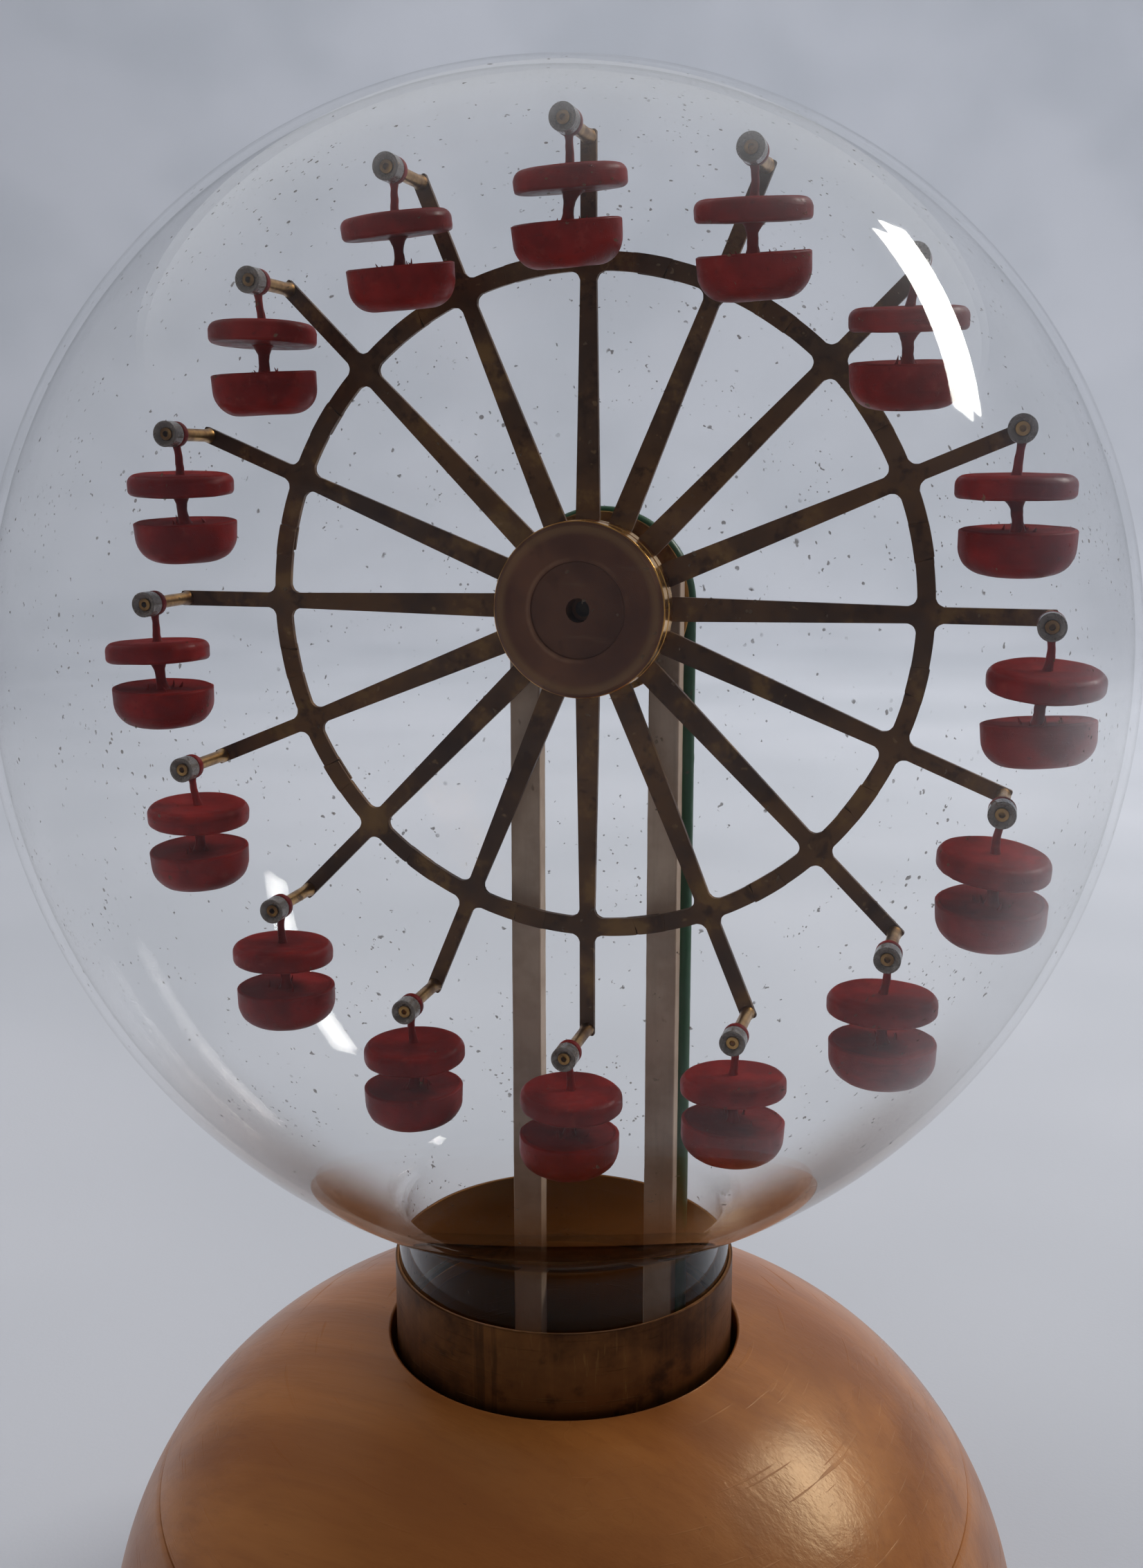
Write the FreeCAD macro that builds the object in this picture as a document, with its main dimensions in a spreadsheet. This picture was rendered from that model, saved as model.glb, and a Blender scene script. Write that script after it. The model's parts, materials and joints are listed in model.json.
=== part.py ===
import FreeCAD, Part
import math
import os
import Sketcher

# Ferris wheel inside a glass globe, standing on a turned wooden base.
# Frame: origin at the middle of the flat underside, +Z up, the wheel's face looks along -Y.
# A round belt in the base turns the wheel; the gondolas hang free on forward-pointing pins.

V = FreeCAD.Vector
X_AXIS = V(1, 0, 0)
Y_AXIS = V(0, 1, 0)
Z_AXIS = V(0, 0, 1)

SIZES = [
    # glass globe: round above its widest circle, slightly fuller below it
    ("globe_radius", 100, "outer radius of the upper half"),
    ("shoulder_fullness", 15, "how much wider the arc of the lower half is"),
    ("glass_wall", 1.5, "thickness of the glass"),
    ("neck_radius", 32.2, "outside of the neck"),
    ("neck_blend", 5, "curve from the shoulder into the neck"),
    ("neck_show", 8.45, "straight neck above the collar"),
    ("neck_insert", 14, "length of neck held in the collar"),
    # collar
    ("collar_show", 15.81, "collar above the edge of the wood"),
    ("collar_wall", 0.7, "brass tube wall"),
    ("collar_clearance", 0.1, "between neck and tube"),
    ("ledge_depth", 3, "ring inside the tube that carries the neck"),
    ("gasket_thickness", 1, "soft ring under the neck"),
    ("flange_width", 10, "foot flange of the collar"),
    ("flange_thickness", 1.5, "foot flange of the collar"),
    ("flange_screw_inset", 4.5, "screws inside the flange's edge"),
    # wooden base
    ("wood_arc", 62, "arc of the turned outside"),
    ("wood_arc_centre", 28, "centre of that arc from the axis"),
    ("wood_arc_height", 24, "centre of that arc above the underside"),
    ("foot_bevel", 1, "eased edge at the underside"),
    ("lid_wall", 10, "thickness of the dome"),
    ("collar_gap", 1.2, "hole in the dome round the collar"),
    ("hole_bevel", 0.6, "eased edge of that hole"),
    ("seam_height", 58.5, "joint between dome and bowl"),
    ("seam_chamfer", 0.5, "bevel on both edges of the joint"),
    ("spigot_height", 1, "step of the dome that drops into the bowl"),
    ("deck_ledge", 8, "step that the deck rests on"),
    ("cover_height", 5, "top of the recess for the bottom cover"),
    # deck
    ("rebate_wall", 5.5, "wood left outside the deck"),
    ("deck_thickness", 5, "plate that carries everything"),
    ("fit_gap", 0.1, "between turned wooden parts that slide together"),
    ("belt_slot_gap", 1.2, "opening for the belt, all round it"),
    # wheel
    ("wheel_side", 2, "axle offset to the right"),
    ("wheel_back", 10, "spoke plane behind the globe axis"),
    ("wheel_rise", 8, "axle above the globe's widest circle"),
    ("spoke_count", 16, "spokes, pins and gondolas"),
    ("sheet", 1, "thickness of the spoke brass"),
    ("spoke_root", 11.2, "inner end of a spoke, held in the hub"),
    ("hang_margin", 4.4, "gondolas' roofs inside the glass, level with the tips"),
    ("root_gap", 0.18, "half the gap between two spokes' inner ends"),
    ("tip_width", 2.9, "spoke width at its outer end"),
    ("ring_inset", 22.3, "middle of the ring band inside the tips"),
    ("ring_width", 3.3, "width of the ring band"),
    ("lap_length", 5, "overlap of two ring arms"),
    ("crossing_fillet", 1.4, "corners where ring and spoke cross"),
    # hub
    ("hub_radius", 16.3, "front drum"),
    ("hub_depth", 7.5, "front drum"),
    ("hub_bevel", 0.9, "bevel of the front face"),
    ("hub_groove", 0.6, "turned line round the drum"),
    ("groove_back", 3.4, "that line ahead of the spokes"),
    ("face_recess_radius", 8.8, "shallow turned circle in the front face"),
    ("face_recess_depth", 0.4, "shallow turned circle in the front face"),
    ("hub_eye", 2.2, "hole in the front face"),
    ("hub_eye_depth", 4.5, "hole in the front face"),
    ("plate_radius", 15, "hub back plate"),
    ("plate_thickness", 2, "hub back plate"),
    # axle and its bearing
    ("axle_radius", 1.5, "steel axle"),
    ("running_gap", 0.05, "between axle and bush"),
    ("bush_radius", 3.5, "flanged brass bush"),
    ("bush_flange", 4.6, "flanged brass bush"),
    ("flange_lip", 0.7, "thickness of the bush flange"),
    ("block_height", 15, "block between the posts"),
    # posts
    ("post_width", 6, "across"),
    ("post_inset", 0.2, "outer faces of the posts inside the belt's centre"),
    ("plate_gap", 0.8, "bush flange behind the hub plate"),
    ("pulley_gap", 0.4, "pulley behind the posts"),
    ("post_easing", 0.35, "eased long edges"),
    ("post_above", 7.5, "posts above the axle"),
    ("foot_side", 3.2, "foot block outside the posts"),
    ("foot_wall", 0.5, "foot block ahead of and behind the posts"),
    ("foot_height", 8, "foot block of the posts"),
    ("mortise_depth", 6, "how far the posts sit in the foot"),
    # pulleys and belt
    ("belt_radius", 1.6, "round belt"),
    ("belt_outset", 1.65, "belt centre outside half the neck's width"),
    ("belt_clearance", 0.94, "belt to the inside of the neck"),
    ("groove_clearance", 0.1, "belt to groove"),
    ("pulley_rise", 0.6, "flanges above the belt's centre"),
    ("pulley_lip", 0.6, "flanges beside the groove"),
    ("web_recess", 0.5, "hollow turned in the pulley's face"),
    ("web_edge", 2.4, "width of the rim and hub round that hollow"),
    ("pulley_boss", 4.2, "boss radius"),
    ("boss_length", 1.5, "boss behind the pulley"),
    ("drive_height", 30, "drive pulley axis above the underside"),
    # hanger pins and caps
    ("pin_radius", 1.2, "round brass pins"),
    ("pin_reach", 17.3, "pin ahead of the spoke plane"),
    ("pin_inset", 1.3, "pin centre inside the spoke's end"),
    ("pin_hole", 0.55, "hole in the pin's end"),
    ("pin_hole_depth", 1.6, "hole in the pin's end"),
    ("solder_fillet", 0.24, "solder round the pin's root"),
    ("cap_radius", 2.4, "clear end caps"),
    ("cap_length", 3.2, "clear end caps"),
    ("cap_overhang", 0.5, "cap ahead of the pin's end"),
    ("cap_dish", 0.8, "depth of the cap's dished end"),
    ("cap_edge", 0.4, "flat rim round that dish"),
    # gondolas
    ("eye_radius", 2.4, "hanger eye"),
    ("eye_thickness", 1.6, "hanger eye"),
    ("eye_clearance", 0.08, "eye to pin"),
    ("eye_side_gap", 0.3, "eye to cap"),
    ("stem_radius", 0.75, "hanger stem"),
    ("stem_root", 0.9, "thickening where the stem meets the roof"),
    ("roof_drop", 7.2, "pin centre to the roof's top"),
    ("roof_radius", 9.8, "roof disc"),
    ("roof_thickness", 4, "roof disc"),
    ("roof_flat", 0.2, "straight part of the roof's rounded edge"),
    ("post_gap", 4.8, "roof to tub"),
    ("middle_radius", 1.5, "post between roof and tub"),
    ("tub_depth", 7.6, "tub"),
    ("tub_inset", 0.2, "tub inside the roof"),
    ("tub_round", 4.9, "rounded lower edge of the tub"),
    ("tub_lip", 1.2, "width of the rim round the tub's recess"),
    ("tub_recess", 0.6, "depth of the recess in the tub's top"),
    # drive in the base
    ("gearbox_radius", 12, "geared motor"),
    ("gearbox_length", 12, "geared motor"),
    ("motor_radius", 10, "geared motor"),
    ("motor_margin", 2.75, "motor's end to the wall of the cavity"),
    ("shaft_radius", 1.5, "motor shaft"),
    ("shaft_pocket", 2, "shaft in the gearbox"),
    ("shaft_end", 0.5, "shaft's end to the bottom of that pocket"),
    ("bracket_gap", 0.5, "bracket behind the pulley's boss"),
    ("bracket_thickness", 1.5, "bent bracket"),
    ("bracket_width", 30, "bent bracket"),
    ("bracket_foot", 12, "flange under the deck"),
    ("cover_thickness", 4, "bottom cover"),
    ("cover_step", 5, "cover seat outside the cavity"),
    ("cell_radius", 7.1, "battery cell"),
    ("cell_length", 50, "battery cell"),
    ("box_wall", 1.2, "battery box"),
    ("box_height", 9.9, "inside of the battery box"),
    ("box_forward", 26, "middle of the battery box ahead of the axis"),
    ("switch_width", 12, "slide switch"),
    ("switch_depth", 6, "slide switch"),
    ("switch_height", 5, "slide switch"),
    ("switch_wall", 1, "slide switch"),
    ("switch_forward", 52, "switch ahead of the axis"),
    ("knob_width", 3, "switch knob"),
    ("knob_depth", 2.4, "switch knob"),
    ("knob_travel", 3, "switch knob"),
    ("knob_gap", 0.5, "cover round the knob"),
    ("knob_recess", 0.4, "knob inside the cover's face"),
    ("knob_lift", 2, "knob inside the switch"),
    # screws
    ("screw_radius", 1.2, "wood screw shank"),
    ("screw_clearance", 0.1, "hole in the metal round the shank"),
    ("screw_head", 2.3, "wood screw head radius"),
    ("screw_head_height", 0.9, "wood screw head"),
    ("screw_length", 6, "shank under the head"),
    ("cover_screw_inset", 2.6, "cover screws inside the cover's edge"),
    ("bracket_screw_inset", 3.3, "bracket screws inside its sides"),
]

doc = FreeCAD.newDocument("globe_wheel")
sheet = doc.addObject("Spreadsheet::Sheet", "sizes")
for row, (alias, amount, meaning) in enumerate(SIZES, start=1):
    sheet.set(f"A{row}", alias)
    sheet.set(f"B{row}", str(amount))
    sheet.set(f"C{row}", meaning)
    sheet.setAlias(f"B{row}", alias)
doc.recompute()


class Size:
    """A length that knows both its present value and the sheet expression that drives it."""

    def __init__(self, text, value):
        self.text = text
        self.value = float(value)

    def __add__(self, other):
        other = as_size(other)
        return Size(f"({self.text} + {other.text})", self.value + other.value)

    def __sub__(self, other):
        other = as_size(other)
        return Size(f"({self.text} - {other.text})", self.value - other.value)

    def __mul__(self, other):
        other = as_size(other)
        return Size(f"({self.text} * {other.text})", self.value * other.value)

    def __truediv__(self, other):
        other = as_size(other)
        return Size(f"({self.text} / {other.text})", self.value / other.value)

    def __neg__(self):
        return Size(f"(0 - {self.text})", -self.value)

    def __radd__(self, other):
        return as_size(other) + self

    def __rsub__(self, other):
        return as_size(other) - self

    def __rmul__(self, other):
        return as_size(other) * self


def as_size(amount):
    return amount if isinstance(amount, Size) else Size(repr(float(amount)), amount)


def root(amount):
    return Size(f"sqrt({amount.text})", math.sqrt(amount.value))


def leg(long_side, short_side):
    """Third side of a right triangle, for points where a line meets an arc."""
    return root(long_side * long_side - short_side * short_side)


def sine(degrees):
    return Size(f"sin({degrees.text} * 1 deg)", math.sin(math.radians(degrees.value)))


def cosine(degrees):
    return Size(f"cos({degrees.text} * 1 deg)", math.cos(math.radians(degrees.value)))


S = {alias: Size(f"sizes.{alias}", amount) for alias, amount, meaning in SIZES}
ZERO = as_size(0)
PARTS = []


# ---------------------------------------------------------------- drawing helpers

def body(name):
    made = doc.addObject("PartDesign::Body", name)
    made.Label = name
    return made


def keep(part, place=None):
    """Set a finished sub-part in its place and note it for export."""
    if place is not None:
        part.Placement = place
    PARTS.append(part)
    return part


def at(x, y, z, turn=None):
    values = [as_size(amount).value for amount in (x, y, z)]
    return FreeCAD.Placement(V(*values), turn or FreeCAD.Rotation())


def sketch(owner, name, role, lift=None):
    """Empty sketch on one of the body's own planes, optionally raised along the plane's normal."""
    made = owner.newObject("Sketcher::SketchObject", name)
    plane = [item for item in owner.Origin.OriginFeatures if item.Role == role][0]
    made.AttachmentSupport = (plane, [""])
    made.MapMode = "FlatFace"
    if lift is not None:
        made.setExpression("AttachmentOffset.Base.z", lift.text)
    return made


def bind(drawing, kind, item, end, amount):
    number = drawing.addConstraint(Sketcher.Constraint(kind, -1, 1, item, end, amount.value))
    drawing.setExpression(f"Constraints[{number}]", amount.text)


def arc_between(start, end, radius, side):
    """Arc from start to end; side +1 bulges to the left of the run, -1 to the right."""
    middle = (start + end) * 0.5
    run = end - start
    across = V(-run.y, run.x, 0).normalize()
    reach = math.sqrt(max(radius ** 2 - (run.Length / 2) ** 2, 0))
    centre = middle - across * (side * reach)
    first, last = (end, start) if side > 0 else (start, end)
    angles = [math.atan2(point.y - centre.y, point.x - centre.x) for point in (first, last)]
    if angles[1] < angles[0]:
        angles[1] += 2 * math.pi
    return Part.ArcOfCircle(Part.Circle(centre, Z_AXIS, radius), *angles)


def outline(owner, name, role, steps, lift=None):
    """Closed outline. A step is (x, y) for a straight run to the next corner,
    or (x, y, radius, side) for an arc to the next corner."""
    drawing = sketch(owner, name, role, lift)
    first = drawing.GeometryCount
    corners = [V(step[0].value, step[1].value, 0) for step in steps]
    count = len(steps)
    arcs = {}
    for index, step in enumerate(steps):
        start = corners[index]
        end = corners[(index + 1) % count]
        if len(step) == 4:
            item = drawing.addGeometry(arc_between(start, end, step[2].value, step[3]))
            arcs[item] = (2, 1) if step[3] > 0 else (1, 2)
            number = drawing.addConstraint(Sketcher.Constraint("Radius", item, step[2].value))
            drawing.setExpression(f"Constraints[{number}]", step[2].text)
        else:
            drawing.addGeometry(Part.LineSegment(start, end))
    for index in range(count):
        item = first + index
        following = first + (index + 1) % count
        near = arcs.get(item, (1, 2))
        drawing.addConstraint(
            Sketcher.Constraint("Coincident", item, near[1], following, arcs.get(following, (1, 2))[0])
        )
        bind(drawing, "DistanceX", item, near[0], as_size(steps[index][0]))
        bind(drawing, "DistanceY", item, near[0], as_size(steps[index][1]))
    return drawing


def rings(owner, name, role, circles, lift=None):
    """Sketch of whole circles, each (x, y, radius)."""
    drawing = sketch(owner, name, role, lift)
    for x, y, radius in circles:
        item = drawing.addGeometry(Part.Circle(V(x.value, y.value, 0), Z_AXIS, radius.value))
        number = drawing.addConstraint(Sketcher.Constraint("Radius", item, radius.value))
        drawing.setExpression(f"Constraints[{number}]", radius.text)
        bind(drawing, "DistanceX", item, 3, x)
        bind(drawing, "DistanceY", item, 3, y)
    return drawing


def turned(owner, drawing, name):
    """Full turn of an outline about its sketch's upright axis."""
    made = owner.newObject("PartDesign::Revolution", name)
    made.Profile = drawing
    made.ReferenceAxis = (drawing, ["V_Axis"])
    made.Angle = 360
    return made


def extrude(owner, kind, drawing, name, length, centred=False, backwards=False):
    made = owner.newObject(f"PartDesign::{kind}", name)
    made.Profile = drawing
    made.setExpression("Length", length.text)
    if centred:
        made.SideType = "Symmetric"
    made.Reversed = backwards
    return made


def box_outline(owner, name, role, left, right, low, high, lift=None):
    return outline(owner, name, role, [(left, low), (right, low), (right, high), (left, high)], lift)


def around(count, radius, start=0.0):
    """Points evenly spaced on a circle, as pairs of sizes."""
    points = []
    for index in range(count):
        angle = as_size(start + 360.0 * index / count)
        points.append((radius * cosine(angle), radius * sine(angle)))
    return points


# ---------------------------------------------------------------- levels used by several pieces

def derive(alias, amount, meaning):
    """Add a size that follows from others to the sheet."""
    row = len(S) + 1
    sheet.set(f"A{row}", alias)
    sheet.set(f"B{row}", "=" + amount.text.replace("sizes.", ""))
    sheet.set(f"C{row}", meaning)
    sheet.setAlias(f"B{row}", alias)
    S[alias] = Size(f"sizes.{alias}", amount.value)


def wood_x(height):
    """Outside of the turned base at a height."""
    return S["wood_arc_centre"] + leg(S["wood_arc"], height - S["wood_arc_height"])


derive("collar_inside", S["neck_radius"] + S["collar_clearance"], "inside of the collar tube")
derive("collar_outside", S["collar_inside"] + S["collar_wall"], "outside of the collar tube")
derive("neck_room", S["neck_radius"] - S["glass_wall"], "inside of the neck")
derive("collar_hole", S["collar_outside"] + S["collar_gap"], "hole in the dome")
derive("wood_top", S["wood_arc_height"] + leg(S["wood_arc"], S["collar_hole"] - S["wood_arc_centre"]),
       "edge of that hole")
derive("collar_top", S["wood_top"] + S["collar_show"], "upper rim of the collar")
derive("neck_low", S["collar_top"] - S["neck_insert"], "end of the neck")
derive("ledge_top", S["neck_low"] - S["gasket_thickness"], "ring that carries the neck")
derive("shoulder_radius", S["globe_radius"] + S["shoulder_fullness"], "arc of the globe's lower half")
derive("blend_drop", leg(S["shoulder_radius"] + S["neck_blend"],
                         S["neck_radius"] + S["neck_blend"] + S["shoulder_fullness"]),
       "globe's widest circle to the centre of the neck's curve")
derive("globe_height", S["collar_top"] + S["neck_show"] + S["blend_drop"], "globe's widest circle")
derive("flange_radius", S["collar_outside"] + S["flange_width"], "foot flange of the collar")
derive("deck_top", S["seam_height"] - S["spigot_height"], "upper face of the deck")
derive("deck_low", S["deck_top"] - S["deck_thickness"], "lower face of the deck")
derive("deck_radius", wood_x(S["seam_height"]) - S["rebate_wall"], "rebate for the deck")
derive("cavity_radius", S["deck_radius"] - S["deck_ledge"], "room for the drive")
derive("cover_radius", S["cavity_radius"] + S["cover_step"], "recess for the cover")
derive("cover_low", S["cover_height"] - S["cover_thickness"], "outer face of the cover")
derive("wheel_height", S["globe_height"] + S["wheel_rise"], "axle")
derive("spoke_tip", S["globe_radius"] - S["glass_wall"] - S["roof_radius"] - S["hang_margin"],
       "outer end of a spoke")
derive("ring_radius", S["spoke_tip"] - S["ring_inset"], "middle of the ring band")
derive("belt_path", S["neck_room"] / 2 + S["belt_outset"], "belt centre round each pulley")
derive("belt_plane", leg(S["neck_room"] - S["belt_radius"] - S["belt_clearance"],
                         S["wheel_side"] + S["belt_path"]) - S["wheel_back"],
       "belt centre behind the spokes")
derive("pulley_width", (S["belt_radius"] + S["groove_clearance"] + S["pulley_lip"]) * 2, "both pulleys")
derive("pulley_radius", S["belt_path"] + S["pulley_rise"], "both pulleys")
derive("pulley_front", S["belt_plane"] - S["pulley_width"] / 2, "front of both pulleys")
derive("boss_back", S["pulley_front"] + S["pulley_width"] + S["boss_length"], "back of both bosses")
derive("post_front", S["sheet"] / 2 + S["plate_thickness"] + S["plate_gap"] + S["flange_lip"],
       "posts behind the spokes")
derive("post_depth", S["pulley_front"] - S["pulley_gap"] - S["post_front"], "posts, front to back")
derive("post_span", (S["belt_path"] - S["post_inset"]) * 2, "over both posts")
derive("bracket_front", S["boss_back"] + S["bracket_gap"], "motor bracket")
derive("gearbox_front", S["bracket_front"] + S["bracket_thickness"], "geared motor")
derive("motor_back", leg(S["cavity_radius"] - S["motor_margin"], S["motor_radius"] + S["wheel_side"])
       - S["wheel_back"], "end of the geared motor")
derive("tub_radius", S["roof_radius"] - S["tub_inset"], "tub")
derive("roof_round", (S["roof_thickness"] - S["roof_flat"]) / 2, "rounded edge of the roof")
derive("loose", S["screw_radius"] + S["screw_clearance"], "screw hole in metal")

axle_x = S["wheel_side"]
axle_y = S["wheel_back"]
wheel_place = at(axle_x, axle_y, S["wheel_height"])
drive_place = at(axle_x, axle_y, S["drive_height"])


def screw_ring(circle, radius):
    """Four screw holes on a circle."""
    return [(x, y, radius) for x, y in around(4, circle, 45)]


def flange_holes(radius):
    return screw_ring(S["flange_radius"] - S["flange_screw_inset"], radius)


def cover_holes(radius):
    return screw_ring(S["cover_radius"] - S["cover_screw_inset"], radius)


def bracket_holes(radius):
    """The two screws of the motor bracket, in the base's own frame."""
    aside = S["bracket_width"] / 2 - S["bracket_screw_inset"]
    back = axle_y + S["gearbox_front"] + S["bracket_foot"] / 2
    return [(axle_x + aside * side, back, radius) for side in (-1, 1)]


# ---------------------------------------------------------------- glass globe and collar

def glass_globe():
    """One blown shell, open at the neck."""
    globe = body("glass_globe")
    outer = S["globe_radius"]
    wide = S["shoulder_radius"]
    centre = S["shoulder_fullness"]
    height = S["globe_height"]
    neck = S["neck_radius"]
    blend = S["neck_blend"]
    wall = S["glass_wall"]
    # the neck blend's centre lies outside the neck, one blend radius from shoulder and neck
    blend_x = neck + blend
    blend_drop = S["blend_drop"]
    share = wide / (wide + blend)
    touch_x = (blend_x + centre) * share - centre
    touch_drop = blend_drop * share
    inner_share = (wide - wall) / (wide + blend)
    inner_x = (blend_x + centre) * inner_share - centre
    inner_drop = blend_drop * inner_share
    steps = [
        (ZERO, height + outer, outer, 1),
        (outer, height, wide, 1),
        (touch_x, height - touch_drop, blend, -1),
        (neck, height - blend_drop),
        (neck, S["neck_low"]),
        (neck - wall, S["neck_low"]),
        (neck - wall, height - blend_drop, blend + wall, 1),
        (inner_x, height - inner_drop, wide - wall, -1),
        (outer - wall, height, outer - wall, -1),
        (ZERO, height + outer - wall),
    ]
    turned(globe, outline(globe, "glass_section", "XZ_Plane", steps), "glass_shell")
    keep(globe)


def brass_collar():
    """Tube that holds the neck, with a ledge inside and a screwed flange at its foot."""
    collar = body("brass_collar")
    inside = S["collar_inside"]
    outside = S["collar_outside"]
    ledge_low = S["ledge_top"] - S["ledge_depth"]
    flange_top = S["deck_top"] + S["flange_thickness"]
    steps = [
        (inside, S["collar_top"]),
        (outside, S["collar_top"]),
        (outside, flange_top),
        (S["flange_radius"], flange_top),
        (S["flange_radius"], S["deck_top"]),
        (inside, S["deck_top"]),
        (inside, ledge_low),
        (S["neck_room"], ledge_low),
        (S["neck_room"], S["ledge_top"]),
        (inside, S["ledge_top"]),
    ]
    turned(collar, outline(collar, "collar_section", "XZ_Plane", steps), "collar_tube")
    drilled = rings(collar, "flange_holes", "XY_Plane", flange_holes(S["loose"]), flange_top)
    extrude(collar, "Pocket", drilled, "flange_drilling", S["flange_thickness"] * 2)
    keep(collar)


def neck_gasket():
    """Flat ring between the ledge and the end of the neck."""
    gasket = body("neck_gasket")
    circles = [(ZERO, ZERO, S["neck_radius"]), (ZERO, ZERO, S["neck_room"])]
    drawing = rings(gasket, "gasket_rings", "XY_Plane", circles, S["ledge_top"])
    extrude(gasket, "Pad", drawing, "gasket_pad", S["gasket_thickness"])
    keep(gasket)


# ---------------------------------------------------------------- wooden base

def base_lid():
    """Dome with the hole for the collar; its inside follows the outside."""
    lid = body("base_lid")
    arc = S["wood_arc"]
    centre = S["wood_arc_centre"]
    level = S["wood_arc_height"]
    hole = S["collar_hole"]
    inner_arc = arc - S["lid_wall"]
    seam = S["seam_height"]
    bevel = S["seam_chamfer"]
    spigot = S["deck_radius"] - S["fit_gap"]
    spigot_low = S["deck_top"] + S["fit_gap"]
    eased = hole + S["hole_bevel"]
    steps = [
        (hole, S["wood_top"] - S["hole_bevel"]),
        (eased, level + leg(arc, eased - centre), arc, 1),
        (wood_x(seam + bevel), seam + bevel),
        (wood_x(seam + bevel) - bevel, seam),
        (spigot, seam),
        (spigot, spigot_low),
        (centre + leg(inner_arc, seam - level), spigot_low),
        (centre + leg(inner_arc, seam - level), seam, inner_arc, -1),
        (hole, level + leg(inner_arc, hole - centre)),
    ]
    turned(lid, outline(lid, "lid_section", "XZ_Plane", steps), "lid_turning")
    keep(lid)


def base_bowl():
    """Lower half of the base: cavity for the drive, rebate for the deck, recess for the cover."""
    bowl = body("base_bowl")
    seam = S["seam_height"]
    bevel = S["seam_chamfer"]
    cavity = S["cavity_radius"]
    eased = S["foot_bevel"]
    steps = [
        (wood_x(eased) - eased, ZERO),
        (wood_x(eased), eased, S["wood_arc"], -1),
        (wood_x(seam - bevel), seam - bevel),
        (wood_x(seam - bevel) - bevel, seam),
        (S["deck_radius"], seam),
        (S["deck_radius"], S["deck_low"]),
        (cavity, S["deck_low"]),
        (cavity, S["cover_height"]),
        (S["cover_radius"], S["cover_height"]),
        (S["cover_radius"], ZERO),
    ]
    turned(bowl, outline(bowl, "bowl_section", "XZ_Plane", steps), "bowl_turning")
    drilled = rings(bowl, "pilot_holes", "XY_Plane", cover_holes(S["screw_radius"]), S["cover_height"])
    extrude(bowl, "Pocket", drilled, "pilot_drilling", S["screw_length"], backwards=True)
    keep(bowl)


def deck():
    """Plywood plate in the rebate, with the belt opening and screw holes."""
    plate = body("deck")
    edge = S["deck_radius"] - S["fit_gap"]
    rim = rings(plate, "deck_rim", "XY_Plane", [(ZERO, ZERO, edge)], S["deck_low"])
    extrude(plate, "Pad", rim, "deck_disc", S["deck_thickness"])
    back = S["wheel_back"] + S["belt_plane"]
    deep = S["belt_radius"] + S["belt_slot_gap"]
    half = S["belt_path"] + deep
    slot = box_outline(plate, "belt_opening", "XY_Plane", axle_x - half, axle_x + half,
                       back - deep, back + deep, S["deck_top"])
    extrude(plate, "Pocket", slot, "belt_cut", S["deck_thickness"] * 2)
    pilots = flange_holes(S["screw_radius"]) + bracket_holes(S["screw_radius"])
    drilled = rings(plate, "pilot_holes", "XY_Plane", pilots, S["deck_top"])
    extrude(plate, "Pocket", drilled, "pilot_drilling", S["deck_thickness"] * 2)
    keep(plate)


def bottom_cover():
    """Plate under the drive, with a slot for the switch knob."""
    cover = body("bottom_cover")
    edge = S["cover_radius"] - S["fit_gap"]
    rim = rings(cover, "cover_rim", "XY_Plane", [(ZERO, ZERO, edge)], S["cover_low"])
    extrude(cover, "Pad", rim, "cover_disc", S["cover_thickness"])
    half = (S["knob_width"] + S["knob_travel"]) / 2 + S["knob_gap"]
    deep = S["knob_depth"] / 2 + S["knob_gap"]
    forward = -S["switch_forward"]
    slot = box_outline(
        cover, "knob_opening", "XY_Plane", -half, half, forward - deep, forward + deep, S["cover_height"]
    )
    extrude(cover, "Pocket", slot, "knob_cut", S["cover_thickness"] * 2)
    drilled = rings(cover, "cover_screw_holes", "XY_Plane", cover_holes(S["loose"]), S["cover_height"])
    extrude(cover, "Pocket", drilled, "cover_drilling", S["cover_thickness"] * 2)
    keep(cover)


# ---------------------------------------------------------------- wheel

def hub_drum():
    """Front drum: bevelled face with a shallow turned circle, and the axle's recessed hole."""
    drum = body("hub_drum")
    back = -S["sheet"] / 2
    front = back - S["hub_depth"]
    bevel = S["hub_bevel"]
    outer = S["hub_radius"]
    line = S["hub_groove"]
    middle = back - S["groove_back"]
    steps = [
        (S["axle_radius"], back),
        (S["axle_radius"], front + S["hub_eye_depth"]),
        (S["hub_eye"], front + S["hub_eye_depth"]),
        (S["hub_eye"], front + S["face_recess_depth"]),
        (S["face_recess_radius"], front + S["face_recess_depth"]),
        (S["face_recess_radius"], front),
        (outer - bevel, front),
        (outer, front + bevel),
        (outer, middle - line),
        (outer - line, middle),
        (outer, middle + line),
        (outer, back),
    ]
    turned(drum, outline(drum, "drum_section", "XY_Plane", steps), "drum_turning")
    keep(drum, wheel_place)


def hub_plate():
    """Back plate; its raised middle fills the room inside the spoke roots."""
    plate = body("hub_plate")
    front = S["sheet"] / 2
    steps = [
        (S["axle_radius"], -front),
        (S["spoke_root"] - S["fit_gap"], -front),
        (S["spoke_root"] - S["fit_gap"], front),
        (S["plate_radius"], front),
        (S["plate_radius"], front + S["plate_thickness"]),
        (S["axle_radius"], front + S["plate_thickness"]),
    ]
    turned(plate, outline(plate, "plate_section", "XY_Plane", steps), "plate_turning")
    keep(plate, wheel_place)


LAP_ROOT = 0.05  # degrees that a lap tongue reaches into its arm
SAME = 0.001  # two points closer than this are one corner


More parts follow.
